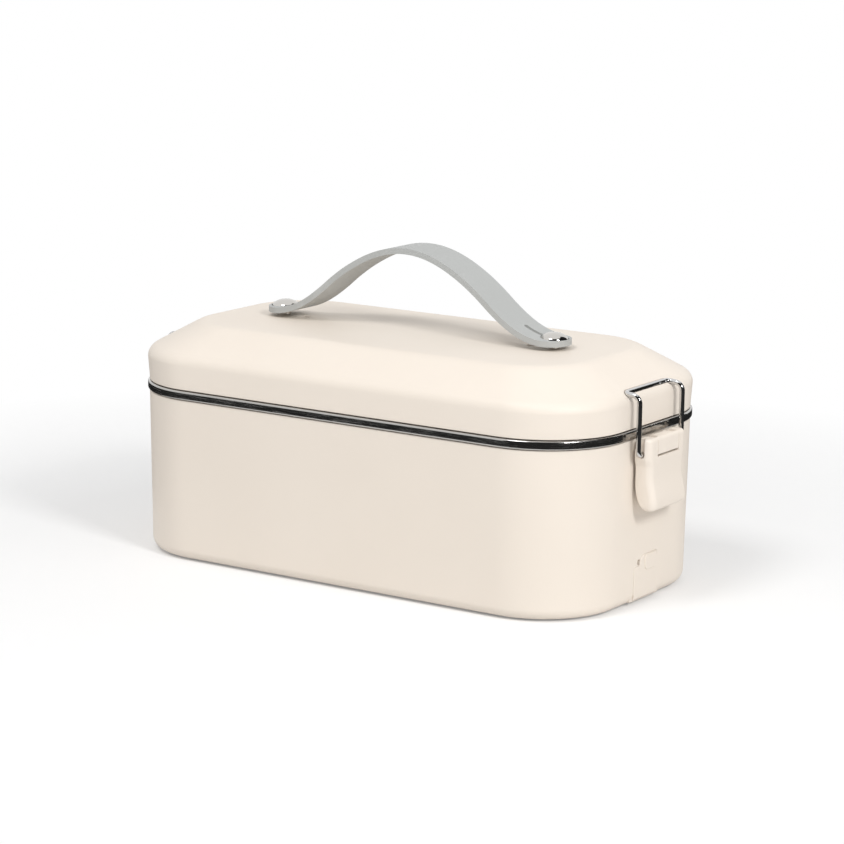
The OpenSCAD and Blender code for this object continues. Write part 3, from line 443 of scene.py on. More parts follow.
def make_brushed_group():
    """Worked metal: fine lines along one direction, soft smudges and a few deeper scratches."""
    group, source, result = new_group(
        "Worked metal",
        [("Colour", "NodeSocketColor", (0.6, 0.6, 0.6, 1)),
         ("Stretch", "NodeSocketVector", (60.0, 60.0, 3000.0)),
         ("Lines", "NodeSocketFloat", 0.1), ("Roughness", "NodeSocketFloat", 0.2)],
        [("Colour", "NodeSocketColor"), ("Roughness", "NodeSocketFloat"),
         ("Height", "NodeSocketFloat")])
    place = put(group, "ShaderNodeTexCoord").outputs["Object"]
    along = put(
        group, "ShaderNodeVectorMath", {"operation": "MULTIPLY"}, i0=place,
        i1=source.outputs["Stretch"]).outputs["Vector"]
    lines = noise(group, along, 1.0, 4.0, 0.65)
    smudge = noise(group, place, 45.0, 3.0)
    dull = put(
        group, "ShaderNodeHueSaturation", Color=source.outputs["Colour"],
        Value=0.8).outputs["Color"]
    dark = calc(group, "MULTIPLY", spread(group, lines, 0.35, 0.75, 0, 1), source.outputs["Lines"])
    tint = blended(
        group, calc(group, "ADD", dark, spread(group, smudge, 0.5, 0.8, 0, 0.25)),
        source.outputs["Colour"], dull)
    group.links.new(tint, result.inputs["Colour"])
    adjusted = calc(
        group, "ADD", spread(group, smudge, 0.3, 0.7, -0.03, 0.06),
        calc(group, "MULTIPLY", spread(group, lines, 0.3, 0.7, -0.5, 0.5), source.outputs["Lines"]))
    group.links.new(
        calc(group, "ADD", source.outputs["Roughness"], adjusted), result.inputs["Roughness"])
    group.links.new(lines, result.inputs["Height"])
    return group


def make_edge_group():
    """Edges that stand out: a mask of them, broken up by noise, that lightens them as a painted
    highlight and polishes them.
    """
    group, source, result = new_group(
        "Painted edge highlight and polish",
        [("Colour", "NodeSocketColor", (0.8, 0.8, 0.8, 1)),
         ("Worn colour", "NodeSocketColor", (1, 1, 1, 1)),
         ("Roughness", "NodeSocketFloat", 0.5), ("Amount", "NodeSocketFloat", 0.3)],
        [("Colour", "NodeSocketColor"), ("Roughness", "NodeSocketFloat")])
    place = put(group, "ShaderNodeTexCoord").outputs["Object"]
    proud = spread(
        group, put(group, "ShaderNodeNewGeometry").outputs["Pointiness"], 0.51, 0.6, 0, 1)
    broken = spread(group, noise(group, place, 160.0, 4.0), 0.4, 0.65, 0.25, 1)
    mask = calc(
        group, "MULTIPLY", calc(group, "MULTIPLY", proud, broken), source.outputs["Amount"])
    group.links.new(
        blended(group, mask, source.outputs["Colour"], source.outputs["Worn colour"]),
        result.inputs["Colour"])
    group.links.new(
        calc(group, "SUBTRACT", source.outputs["Roughness"], calc(group, "MULTIPLY", mask, 0.2)),
        result.inputs["Roughness"])
    return group


GROUPS = {}


def shared_groups():
    """Builds the shared groups once."""
    if not GROUPS:
        GROUPS["moulded"] = make_moulded_group()
        GROUPS["brushed"] = make_brushed_group()
        GROUPS["edges"] = make_edge_group()
    return GROUPS


def grouped(tree, name, **values):
    """A shared group placed in a material."""
    node = tree.nodes.new("ShaderNodeGroup")
    node.node_tree = shared_groups()[name]
    for key, value in values.items():
        fill(tree, node.inputs[key.replace("_", " ")], value)
    return node


def blank_finish(name, metallic=0.0, specular=0.5, **constants):
    """A new material, its node tree and its shader."""
    finish = bpy.data.materials.new(name)
    finish.use_nodes = True
    shader = finish.node_tree.nodes["Principled BSDF"]
    shader.inputs["Metallic"].default_value = metallic
    shader.inputs["Specular IOR Level"].default_value = specular
    for key, value in constants.items():
        shader.inputs[key.replace("_", " ")].default_value = value
    return finish, finish.node_tree, shader


def raise_surface(tree, shader, height, distance):
    """Feeds a height to the shader's normal."""
    bump = put(tree, "ShaderNodeBump", Height=height, Distance=distance)
    tree.links.new(bump.outputs["Normal"], shader.inputs["Normal"])


def plastic(name, tint, roughness, grain=1800.0, depth=0.02 * MM, shade=0.35, edge_highlight=0.25, **constants):
    """Moulded plastic or rubber."""
    finish, tree, shader = blank_finish(name, **constants)
    base = grouped(
        tree, "moulded", Colour=(*tint, 1), Shade=shade, Grain=grain, Roughness=roughness)
    # Edges that stand out get a painted highlight, a lighter tint of the colour, and a lower roughness.
    lighter = tuple(min(c * 1.12 + 0.02, 1) for c in tint)
    adjusted = grouped(
        tree, "edges", Colour=base.outputs["Colour"], Worn_colour=(*lighter, 1),
        Roughness=base.outputs["Roughness"], Amount=edge_highlight)
    tree.links.new(adjusted.outputs["Colour"], shader.inputs["Base Color"])
    tree.links.new(adjusted.outputs["Roughness"], shader.inputs["Roughness"])
    raise_surface(tree, shader, base.outputs["Height"], depth)
    return finish


def metal(name, tint, roughness, stretch, lines=0.12, depth=0.004 * MM, **constants):
    """Bare metal with a worked surface."""
    finish, tree, shader = blank_finish(name, metallic=1.0, **constants)
    base = grouped(
        tree, "brushed", Colour=(*tint, 1), Stretch=stretch, Lines=lines, Roughness=roughness)
    tree.links.new(base.outputs["Colour"], shader.inputs["Base Color"])
    tree.links.new(base.outputs["Roughness"], shader.inputs["Roughness"])
    raise_surface(tree, shader, base.outputs["Height"], depth)
    return finish


def woven_sleeve(name, tint):
    """Glass-fibre sleeve: two crossing sets of fine threads."""
    finish, tree, shader = blank_finish(name, Sheen_Weight=0.3)
    place = put(tree, "ShaderNodeTexCoord").outputs["Object"]
    threads = [
        put(tree, "ShaderNodeTexWave", {"wave_type": "BANDS", "bands_direction": "X"},
            Vector=put(tree, "ShaderNodeMapping", Vector=place, Rotation=(0, 0, turn)).outputs[0],
            Scale=700.0, Distortion=1.5).outputs["Fac"]
        for turn in (math.radians(40), math.radians(-40))]
    weave = calc(tree, "MAXIMUM", *threads)
    base = grouped(tree, "moulded", Colour=(*tint, 1), Shade=0.6, Grain=2600.0, Roughness=0.75)
    shadow = blended(
        tree, spread(tree, weave, 0.2, 0.9, 0.35, 0), base.outputs["Colour"],
        (*(0.5 * c for c in tint), 1))
    tree.links.new(shadow, shader.inputs["Base Color"])
    tree.links.new(base.outputs["Roughness"], shader.inputs["Roughness"])
    raise_surface(tree, shader, weave, 0.06 * MM)
    return finish


FINISHES = {}


def finish_of(name):
    """The finish with that name, made when it is first asked for."""
    if name not in FINISHES:
        FINISHES[name] = FINISH_MAKERS[name](box().colours)
    return FINISHES[name]


FINISH_MAKERS = {
    "cream": lambda c: plastic(
        "Cream casing plastic", c.casing, 0.5, grain=2400.0, depth=0.012 * MM, specular=0.4),
    "liner": lambda c: plastic("Liner plastic", c.liner, 0.42),
    "black": lambda c: plastic("Black plastic", c.black, 0.4, edge_highlight=0.1),
    "rubber": lambda c: plastic("Foot rubber", c.rubber, 0.8, grain=1200.0, depth=0.04 * MM),
    "silicone": lambda c: plastic("Silicone", c.silicone, 0.45, Subsurface_Weight=0.15),
    "strap": lambda c: plastic(
        "Strap polymer", c.strap, 0.62, grain=1500.0, depth=0.045 * MM, shade=0.6, edge_highlight=0.4,
        specular=0.35, Sheen_Weight=0.15),
    "ceramic": lambda c: plastic("Heater ceramic", c.ceramic, 0.85, grain=900.0, depth=0.05 * MM),
    "sleeve": lambda c: woven_sleeve("Lead sleeve", c.sleeve),
    "steel": lambda c: metal("Tray steel", c.steel, 0.16, (90.0, 90.0, 2600.0), lines=0.35),
    "wire": lambda c: metal("Clasp wire steel", c.wire, 0.08, (700.0, 700.0, 90.0)),
    "stud": lambda c: metal("Polished stud", c.stud, 0.1, (300.0, 300.0, 300.0), lines=0.06),
    "aluminium": lambda c: metal(
        "Drawn aluminium", c.aluminium, 0.34, (60.0, 60.0, 1500.0), lines=0.3),
    "zinc": lambda c: metal("Zinc plate", c.zinc, 0.3, (400.0, 400.0, 400.0), lines=0.2),
    "brass": lambda c: metal("Contact brass", c.brass, 0.22, (120.0, 1800.0, 1800.0)),
}

NODE_FINISH = {
    "bottom_cover": "cream", "bottom_screws": "zinc", "rubber_feet": "rubber",
    "heater_well": "aluminium", "well_seal": "silicone", "well_screws": "zinc",
    "heater_plate": "aluminium", "plate_nuts": "zinc", "heater_block": "ceramic",
    "heater_clamp": "zinc", "clamp_screws": "zinc", "thermostat": "black",
    "thermal_fuse": "ceramic", "internal_leads": "sleeve", "inlet_socket": "black",
    "contact_pins": "brass", "inlet_screws": "zinc", "inlet_cover_pin": "zinc",
    "lid_liner": "liner", "lid_gasket": "silicone", "liner_screws": "zinc",
    "stud_spacers": "stud", "stud_washers": "zinc", "stud_nuts": "zinc",
    "right_latch_bracket": "cream", "left_latch_bracket": "cream",
    "right_bracket_screws": "zinc", "left_bracket_screws": "zinc",
    "right_latch_pin": "wire", "left_latch_pin": "wire",
}


# Casings


def casing_ring(inset, height):
    """The casing's outline, drawn in by an inset."""
    size = box().casing
    return Ring(
        size.length - 2 * inset, size.width - 2 * inset, max(size.corner - inset, 1 * MM), height)


def quarter(steps, radius):
    """Points (along, up) of a quarter round, from its lower end."""
    turns = [math.pi / 2 * k / steps for k in range(steps + 1)]
    return [(radius * (1 - math.sin(a)), radius * (1 - math.cos(a))) for a in turns]


LIP_ROUND = 0.45 * MM
LIP_STEPS = 4
LEDGE_BELOW_TOP = 4 * MM
LEDGE_INSET = 9.5 * MM
LEDGE_THICKNESS = 1 * MM
LEDGE_FALL = 6 * MM
# Heights of the fillet between the casing's wall and its floor, inside
FILLET_TOP = 14 * MM
FILLET_MIDDLE = 8 * MM
FILLET_FOOT = 5 * MM
FLOOR_THICKNESS = 3.6 * MM
COVER_INSET = 13 * MM
COVER_REBATE = 2 * MM
OPENING_INSET = 20 * MM


def base_rings():
    """The lower casing's section, walked once round."""
    size = box().casing
    low, top = BASE_LOW.z, BASE_HIGH.z

    def lean(z):
        return (top - z) * math.tan(size.lean)

    outer = [(COVER_INSET, low)]
    outer += [(lean(low + up) + along, low + up) for along, up in quarter(10, size.bottom_round)]
    outer += [(lean(z), z) for z in (low + size.bottom_round + 1 * MM, top / 2, top - 1.5 * MM)]
    outer += [(along, top - up) for along, up in reversed(quarter(LIP_STEPS, LIP_ROUND))]
    ledge = top - LEDGE_BELOW_TOP
    inner = [
        (size.wall - LIP_ROUND, top), (size.wall, top - LIP_ROUND), (size.wall, ledge),
        (LEDGE_INSET, ledge), (LEDGE_INSET, ledge - LEDGE_THICKNESS),
        (size.wall + 0.2 * MM, ledge - LEDGE_FALL),
        (lean(FILLET_TOP) + size.wall, FILLET_TOP),
        (lean(FILLET_MIDDLE) + size.wall + 1 * MM, FILLET_MIDDLE),
        (lean(FILLET_FOOT) + size.wall + 3.5 * MM, low + FLOOR_THICKNESS),
        (OPENING_INSET, low + FLOOR_THICKNESS), (OPENING_INSET, low + COVER_REBATE),
        (COVER_INSET, low + COVER_REBATE)]
    return [casing_ring(inset, height) for inset, height in outer + inner]


# Outline of the inlet flap, seen from outside: half width, heights and the step for a fingertip
FLAP_HALF = (FLAP_HIGH.y - FLAP_LOW.y) / 2
FLAP_TOP = FLAP_HIGH.z
FLAP_FOOT = 2.5 * MM
FLAP_BACK = 117.54 * MM
FLAP_THICKNESS = 1.8 * MM
STEP_Y = -4.8 * MM
STEP_Z = FLAP_TOP - 4.4 * MM
HINGE_X = 117.84 * MM
HINGE_Z = 4.2 * MM
HINGE_RADIUS = 1.5 * MM
HINGE_BORE = 0.75 * MM
BOSS_FRONT = 118.54 * MM
BOSS_BACK = 112 * MM
BOSS_HALF = 12.15 * MM
BOSS_FOOT = 1.6 * MM
BOSS_TOP = 24.2 * MM
BOSS_ROUND = 0.6 * MM
NECK_HALF = 9.4 * MM
NECK_LOW = 6.9 * MM
NECK_HIGH = 17.5 * MM
NECK_ROUND = 5.3 * MM
FLAP_GAP = 0.12 * MM
CUT_PAST = 8 * MM
SCOOP_RADIUS = 1.3 * MM
SCOOP_EDGE = 0.6 * MM
SCOOP_ASIDE = 2.2 * MM
SCOOP_RISE = 2.8 * MM


def flap_outline(grow):
    """Corners of the flap in the end's plane, and the roundings of its two upper corners."""
    points = [
        (0, -FLAP_HALF - grow, FLAP_FOOT - grow), (0, FLAP_HALF + grow, FLAP_FOOT - grow),
        (0, FLAP_HALF + grow, FLAP_TOP + grow), (0, STEP_Y - grow, FLAP_TOP + grow),
        (0, STEP_Y - grow, STEP_Z + grow), (0, -FLAP_HALF - grow, STEP_Z + grow)]
    rounds = [(2, 1.2 * MM + grow, 5), (3, 3.6 * MM + grow, 8), (5, 1 * MM + grow, 4)]
    return points, rounds


def latch_seat():
    """The pocket behind a clasp's bracket."""
    low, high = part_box("right_latch_bracket")
    return block(
        (low.x, low.y - 0.2 * MM, low.z - 0.2 * MM), (low.x + 5 * MM, high.y + 0.2 * MM, 73.4 * MM))


class LUNCHBOX_OT_lower_casing(Operator):
    """Model the lower casing with its ledge, inlet boss and clasp seats"""

    bl_idname = "lunch_box.lower_casing"
    bl_label = "Lower Casing"

    def execute(self, context):
        mesh = lofted(base_rings(), closed=True)
        boss = block((BOSS_BACK, -BOSS_HALF, BOSS_FOOT), (BOSS_FRONT, BOSS_HALF, BOSS_TOP))
        outward_edges = [
            edge for edge in boss.edges
            if edge.calc_length() < 10 * MM or edge.verts[0].co.z < 2 * MM]
        soften(boss, outward_edges, BOSS_ROUND)
        mesh = carved(mesh, boss, how="UNION")
        points, rounds = flap_outline(FLAP_GAP)
        pocket = prism(points, "x", FLAP_BACK - FLAP_GAP, FLAP_BACK + CUT_PAST, rounds)
        knuckle = FLAP_HALF + FLAP_GAP
        hinge = rod(
            HINGE_RADIUS + 0.55 * MM, (HINGE_X, -knuckle, HINGE_Z), (HINGE_X, knuckle, HINGE_Z))
        scoop = rod(
            SCOOP_RADIUS, (FLAP_BACK - SCOOP_EDGE, STEP_Y - SCOOP_EDGE, STEP_Z + SCOOP_RADIUS),
            (FLAP_BACK + CUT_PAST, STEP_Y - SCOOP_ASIDE, STEP_Z + SCOOP_RISE))
        neck = prism(
            [(0, -NECK_HALF, NECK_LOW), (0, NECK_HALF, NECK_LOW), (0, NECK_HALF, NECK_HIGH),
             (0, -NECK_HALF, NECK_HIGH)], "x", BOSS_BACK - 1 * MM, FLAP_BACK + 1 * MM,
            [(k, NECK_ROUND, 8) for k in range(4)])
        seat = latch_seat()
        far_seat = half_turn(seat)
        mesh = carved(mesh, pocket, hinge, scoop, neck, seat, far_seat)
        finished(mesh, "lower_casing", "base", "cream", ["base_shell"])
        return {"FINISHED"}


def lid_ring(share, height, inset):
    """A ring between the lid's wall at share 0 and its flat top at share 1."""
    size, casing = box().lid, box().casing
    return Ring(
        casing.length + share * (size.top_length - casing.length) - 2 * inset,
        casing.width + share * (size.top_width - casing.width) - 2 * inset,
        size.shoulder_corner + share * (size.top_corner - size.shoulder_corner) - inset, height)


def bezier(a, b, c, t):
    return (1 - t) ** 2 * a + 2 * t * (1 - t) * b + t * t * c


SLOPE_LENGTH = 23 * MM
LID_STEPS = 8


def lid_rings():
    """The lid's section: inside from its ceiling down, round the lip, outside up to the flat top."""
    size, wall = box().lid, box().casing.wall
    low, top = LID_LOW.z, LID_HIGH.z
    rise = top - size.shoulder
    foot, crest = size.shoulder_round / SLOPE_LENGTH, size.top_round / SLOPE_LENGTH

    def shoulder(t, inset, drop):
        return lid_ring(
            bezier(0, 0, foot, t),
            bezier(size.shoulder - size.shoulder_round, size.shoulder, size.shoulder + foot * rise, t)
            - drop, inset)

    def edge(t, inset, drop):
        return lid_ring(
            bezier(1 - crest, 1, 1, t), bezier(top - crest * rise, top, top, t) - drop,
            inset + bezier(0, 0, size.top_round, t))

    turns = [k / LID_STEPS for k in range(LID_STEPS + 1)]
    lip = [(wall - LIP_ROUND, low), (LIP_ROUND, low)]
    lip += [(along, low + up) for along, up in quarter(LIP_STEPS, LIP_ROUND)[1:]]
    return (
        [edge(1, wall * 0.4, wall), edge(0, wall * 0.8, wall * 0.75)]
        + [shoulder(1, wall, wall * 0.45), shoulder(0, wall, 0)]
        + [casing_ring(wall, low + LIP_ROUND)]
        + [casing_ring(inset, height) for inset, height in lip]
        + [casing_ring(0, low + 1.5 * MM)]
        + [shoulder(t, 0, 0) for t in turns]
        + [shoulder(1, 0, 0)._replace(height=shoulder(1, 0, 0).height + 0.001 * MM)]
        + [edge(t, 0, 0) for t in turns])


VENT_X = 59.8 * MM
VENT = Vector((4.2 * MM, 2.6 * MM))
BAR_DROP = 0.6 * MM
ARM_FALL = 0.08
WIRE_CORNER = 2.5 * MM
NOTCH_GAP = 0.22 * MM


def let_arms_fall(mesh, bar_x, above):
    """Slopes what lies above a height down and outward from the crossbar."""
    for v in mesh.verts:
        if v.co.z > above - 0.01 * MM:
            v.co.z -= ARM_FALL * (v.co.x - bar_x)


def wire_notch():
    """The groove over the shoulder that holds a clasp wire's crossbar, and its two arms' ways out."""
    wire = box().clasp.wire
    groove = wire / 2 + NOTCH_GAP
    bar_x, bar_z = WIRE_LOW.x + wire / 2, WIRE_HIGH.z - BAR_DROP - wire / 2
    leg_y = WIRE_HIGH.y - wire / 2
    bend = WIRE_CORNER
    tools = [rod(groove, (bar_x, bend - leg_y, bar_z), (bar_x, leg_y - bend, bar_z), 28)]
    for side in (-1, 1):
        tools.append(rod(
            groove, (bar_x + bend, side * leg_y, bar_z), (bar_x + 6 * MM, side * leg_y, bar_z), 28))
        elbow = bmesh.new()
        made = bmesh.ops.create_circle(elbow, cap_ends=True, segments=28, radius=groove)["verts"]
        rotate(elbow, made, math.pi / 2, "X")
        bmesh.ops.translate(elbow, vec=(bar_x, side * (leg_y - bend), bar_z), verts=made)
        bmesh.ops.spin(
            elbow, geom=elbow.faces[:], cent=(bar_x + bend, side * (leg_y - bend), bar_z),
            axis=(0, 0, -side), angle=math.pi / 2, steps=8)
        bmesh.ops.recalc_face_normals(elbow, faces=elbow.faces[:])
        tools.append(elbow)
    for tool in tools:
        let_arms_fall(tool, bar_x, 0)
    return tools


class LUNCHBOX_OT_lid_casing(Operator):
    """Model the lid with its slopes, wire notches and vents"""

    bl_idname = "lunch_box.lid_casing"
    bl_label = "Lid Casing"

    def execute(self, context):
        mesh = lofted(lid_rings())
        for tool in wire_notch():
            mesh = carved(mesh, half_turn(tool), tool)
        vents = [
            block((x - VENT.x / 2, -VENT.y / 2, LID_HIGH.z - 8 * MM),
                  (x + VENT.x / 2, VENT.y / 2, LID_HIGH.z + 4 * MM))
            for x in (-VENT_X, VENT_X)]
        mesh = carved(mesh, *vents)
        finished(mesh, "lid_casing", "lid", "cream", ["lid_shell"])
        return {"FINISHED"}


# Tray


TRAY_SHEET = 0.8 * MM
TRAY_INSET = 12.1 * MM
RIM_PROUD = 0.8 * MM
RIM_HEIGHT = 4 * MM
RIM_ROUND = 0.9 * MM
RIM_HEM = 1.4 * MM
BOWL_ROUND = 8 * MM
BOWL_LEAN = 1.4 * MM
MOUTH_ROUND = 1.2 * MM
MOUTH_MIDDLE = 0.35 * MM


def bowl(inset, height, radius):
    """The bowl's bottom rounding from its floor outwards."""
    return [(inset + BOWL_LEAN + along, height + up) for along, up in quarter(8, radius)]


class LUNCHBOX_OT_tray(Operator):
    """Model the steel food tray with its rolled rim"""

    bl_idname = "lunch_box.tray"
    bl_label = "Food Tray"

    def execute(self, context):
        top, floor = TRAY_HIGH.z, TRAY_LOW.z
        low = top - RIM_HEIGHT
        outside = TRAY_INSET - TRAY_SHEET

        rim_back = TRAY_SHEET - RIM_PROUD
        rim = quarter(6, RIM_ROUND)
        section = bowl(outside, floor, BOWL_ROUND) + [(outside, top - TRAY_SHEET)]
        section += [(rim_back, top - TRAY_SHEET), (rim_back, low + TRAY_SHEET)]
        section += [(RIM_HEM, low + TRAY_SHEET), (RIM_HEM, low)]
        section += [(along - RIM_PROUD, low + up) for along, up in rim]
        section += [(along - RIM_PROUD, top - up) for along, up in reversed(rim)]
        section += [(TRAY_INSET - MOUTH_ROUND, top)]
        section += [(TRAY_INSET - MOUTH_MIDDLE, top - MOUTH_MIDDLE), (TRAY_INSET, top - MOUTH_ROUND)]
        section += reversed(bowl(TRAY_INSET, floor + TRAY_SHEET, BOWL_ROUND - TRAY_SHEET))
        mesh = lofted([casing_ring(inset, height) for inset, height in section])
        finished(mesh, "steel_tray", "tray", "steel", ["food_tray"])
        return {"FINISHED"}


# Handle


# Height of the strap's middle above its ends, by distance from the box's middle, measured on the photo
STRAP_BOW = [
    (0, 33.5), (10, 32.3), (20, 28.8), (30, 23.3), (38, 17.6), (45, 11.8), (51.5, 7.0), (58, 3.3),
    (64.5, 1.0), (71.3, 0), (82, 0)]
STRAP_EDGE = 1.15 * MM
STRAP_CUT = 1.6 * MM
END_DRAWN_IN = 3.2 * MM
MERGE_SHORT = 0.08 * MM
HEAD_RIM = 0.35 * MM
HEAD_SUNK = 0.9 * MM
HEAD_ROOM = 0.3 * MM
SLIT_ROUND = 0.5 * MM
SHANK_RADIUS = 1.7 * MM
SHANK_HOLE = 1.85 * MM
WALK_STEP = 0.25 * MM
WALK_END = 84 * MM


def bow_height(x):
    """Height of the strap's middle line at a distance from the box's middle."""
    x = abs(x) / MM
    points = STRAP_BOW
    k = max(i for i in range(len(points) - 1) if points[i][0] <= x or i == 0)
    x0, y0 = points[k]
    x1, y1 = points[k + 1]
    before = points[k - 1] if k else (-points[1][0], points[1][1])
    after = points[k + 2] if k + 2 < len(points) else (2 * x1 - x0, y1)
    t = min((x - x0) / (x1 - x0), 1)
    m0 = (y1 - before[1]) / (x1 - before[0]) * (x1 - x0)
    m1 = (after[1] - y0) / (after[0] - x0) * (x1 - x0)
    return MM * (
        (2 * t ** 3 - 3 * t ** 2 + 1) * y0 + (t ** 3 - 2 * t ** 2 + t) * m0
        + (3 * t ** 2 - 2 * t ** 3) * y1 + (t ** 3 - t ** 2) * m1)


def bow_walk():
    """Points (distance along the strap, x, height) from its middle to past its end."""
    walk, x, run = [], 0.0, 0.0
    while x < WALK_END:
        walk.append((run, x, bow_height(x)))
        run += math.hypot(WALK_STEP, bow_height(x + WALK_STEP) - bow_height(x))
        x += WALK_STEP
    return walk


def bend_strap(mesh, middle):
    """Lays a flat strap along the bow. Its length runs along X, its middle plane is z = 0."""
    walk = bow_walk()
    for v in mesh.verts:
        run = abs(v.co.x)
        k = min(max(i for i, w in enumerate(walk) if w[0] <= run), len(walk) - 2)
        r0, x0, z0 = walk[k]
        r1, x1, z1 = walk[k + 1]
        t = (run - r0) / (r1 - r0)
        slope = Vector((x1 - x0, z1 - z0)).normalized()
        side = -1 if v.co.x < 0 else 1
        x = x0 + t * (x1 - x0) - slope.y * v.co.z
        z = z0 + t * (z1 - z0) + slope.x * v.co.z
        v.co = Vector((side * x, v.co.y, middle + z))


def stud_x():
    return STUD_HIGH.x - (STUD_HIGH.y - STUD_LOW.y) / 2


def level_rims(mesh):
    """Sharp edges along the strap's upper and lower faces."""
    return [
        e for e in mesh.edges
        if abs(e.verts[0].co.z - e.verts[1].co.z) < 1e-6 and len(e.link_faces) == 2
        and e.calc_face_angle(0) > 1]


def in_slit(edge, run_to_stud):
    """Whether an edge lies on a slit."""
    return all(
        abs(v.co.y) < 2 * MM and abs(v.co.x) < run_to_stud + 2 * MM for v in edge.verts)


class LUNCHBOX_OT_strap(Operator):
    """Model the strap flat with its slits, round its edges and bend it over the lid"""

    bl_idname = "lunch_box.strap"
    bl_label = "Handle Strap"

    def execute(self, context):
        size = box().strap
        middle = SPACER_HIGH.z + size.thickness / 2
        run_to_stud = next(run for run, x, _ in bow_walk() if x >= stud_x())
        half = run_to_stud + STRAP_HIGH.x - stud_x() - END_DRAWN_IN
        ring = Ring(2 * half, size.width, size.width * 0.4995, -size.thickness / 2)
        mesh = lofted([ring, ring._replace(height=size.thickness / 2)], steps=20)
        bmesh.ops.remove_doubles(mesh, verts=mesh.verts[:], dist=MERGE_SHORT)
        slit = Ring(size.slit_length + 2 * MM, size.slit_width, size.slit_width * 0.49, -3 * MM)
        for side in (-1, 1):
            tool = lofted([slit, slit._replace(height=3 * MM)], steps=6)
            bmesh.ops.remove_doubles(tool, verts=tool.verts[:], dist=MERGE_SHORT)
            shift = side * (run_to_stud - size.slit_length / 2 + 1 * MM)
            bmesh.ops.translate(tool, vec=(shift, 0, 0), verts=tool.verts[:])
            mesh = carved(mesh, tool)
        rims = [e for e in level_rims(mesh) if not in_slit(e, run_to_stud)]
        soften(mesh, rims, STRAP_EDGE, 6)
        lips = [e for e in level_rims(mesh) if in_slit(e, run_to_stud)]
        soften(mesh, lips, SLIT_ROUND, 3)
        seat_floor, seat_radius = size.thickness / 2 - HEAD_SUNK, size.head / 2 + HEAD_ROOM
        seat = [(0, seat_floor), (seat_radius, seat_floor), (seat_radius, 5 * MM), (0, 5 * MM)]
        for x in (-run_to_stud, run_to_stud):
            mesh = carved(mesh, turned(seat, x), rod(SHANK_HOLE, (x, 0, -5 * MM), (x, 0, 5 * MM)))
        at = -half + STRAP_CUT
        while at < half:
            bmesh.ops.bisect_plane(
                mesh, geom=mesh.verts[:] + mesh.edges[:] + mesh.faces[:], dist=1e-6,
                plane_co=(at, 0, 0), plane_no=(1, 0, 0))
            at += STRAP_CUT
        bend_strap(mesh, middle)
        finished(mesh, "strap", "lid", "strap", ["handle_strap"])
        return {"FINISHED"}


class LUNCHBOX_OT_studs(Operator):
    """Turn the domed studs and the spacers under the strap"""

    bl_idname = "lunch_box.studs"
    bl_label = "Studs and Spacers"

    def execute(self, context):
        head = box().strap.head / 2
        base = SPACER_HIGH.z + box().strap.thickness - HEAD_SUNK
        rim = base + HEAD_RIM
        rise = STUD_HIGH.z - rim
        dome = [
            (head * math.cos(a), rim + rise * math.sin(a))
            for a in (math.pi / 2 * k / 12 for k in range(12))]
        outline = [(0, STUD_LOW.z), (SHANK_RADIUS, STUD_LOW.z), (SHANK_RADIUS, base)]
        outline += [(head - 0.25 * MM, base), (head, base + 0.2 * MM)] + dome + [(0, STUD_HIGH.z)]
        studs = joined([turned(outline, side * stud_x()) for side in (-1, 1)])
        finished(studs, "strap_studs", "lid", "stud", ["handle_studs"])
        low, high, bore = SPACER_LOW.z, SPACER_HIGH.z, SHANK_RADIUS + 0.02 * MM
        out = (SPACER_HIGH.y - SPACER_LOW.y) / 2
        ease = 0.25 * MM
        collar = [
            (bore, low), (out - ease, low), (out, low + ease), (out, high - ease), (out - ease, high),
            (bore, high), (bore, low)]
        spacers = joined([turned(collar, side * stud_x()) for side in (-1, 1)])
        finished(spacers, "strap_spacers", "lid", "stud", ["stud_spacers"])
        return {"FINISHED"}


# Clasps


LEVER_CHEEK = 2.4 * MM
LEVER_FRONT = 1.5 * MM
LEVER_OUT = 8.7 * MM
LEVER_WAIST = 1 * MM
HEEL_DEPTH = 6 * MM
LEVER_BACK = 1.2 * MM
LEVER_KICK = 2 * MM
LEVER_SIDE_ROUND = 3.4 * MM
WIRE_PIVOT = Vector((124.5 * MM, 0, 67.7 * MM))
LEVER_SLOT_Z = 66.4 * MM
LEVER_HALF = (LEVER_HIGH.y - LEVER_LOW.y) / 2
# Heights over a lever's foot, in millimetres
LEVER_TALL = (LEVER_HIGH.z - LEVER_LOW.z) / MM
HEEL_TOP = 12
TOE_ROUND = 2.4
KICK_RISE = 12.6
CROWN_ROUND = 1.6
WAIST_TOP = (WIRE_PIVOT.z - LEVER_LOW.z) / MM - 5.7
WAIST_FADE = 4
STEP_UP = (WIRE_PIVOT.z - LEVER_LOW.z) / MM + 2


def smooth_step(t):
    t = min(max(t, 0), 1)
    return t * t * (3 - 2 * t)


def lever_row(up):
    """Back and front of a lever's section, out from the casing's end, and how far its sides draw in."""
    toe, crown = TOE_ROUND, CROWN_ROUND
    front = LEVER_OUT + LEVER_KICK * smooth_step(1 - (up - toe) / KICK_RISE)
    back = LEVER_BACK + HEEL_DEPTH * (1 - math.sqrt(1 - (1 - min(up / HEEL_TOP, 1)) ** 2))
    sides = LEVER_WAIST * (1 - smooth_step((up - WAIST_TOP) / WAIST_FADE))
    if up < toe:
        front -= MM * (toe - math.sqrt(toe ** 2 - (toe - up) ** 2))
        sides += 1.5 * MM * (1 - math.sqrt(1 - (1 - up / toe) ** 2))
    if up > STEP_UP + 0.2:
        back += 1.6 * MM
    over = up - (LEVER_TALL - crown)
    if over > 0:
        bend = crown - math.sqrt(max(crown ** 2 - over ** 2, 0))
        front -= MM * bend
        sides += MM * 0.6 * bend
        back += MM * 0.35 * bend
    return back, front, sides


class LeverLoop(NamedTuple):
    """Section of a lever: back, front, half width and height."""

    back: float
    front: float
    half: float
    height: float


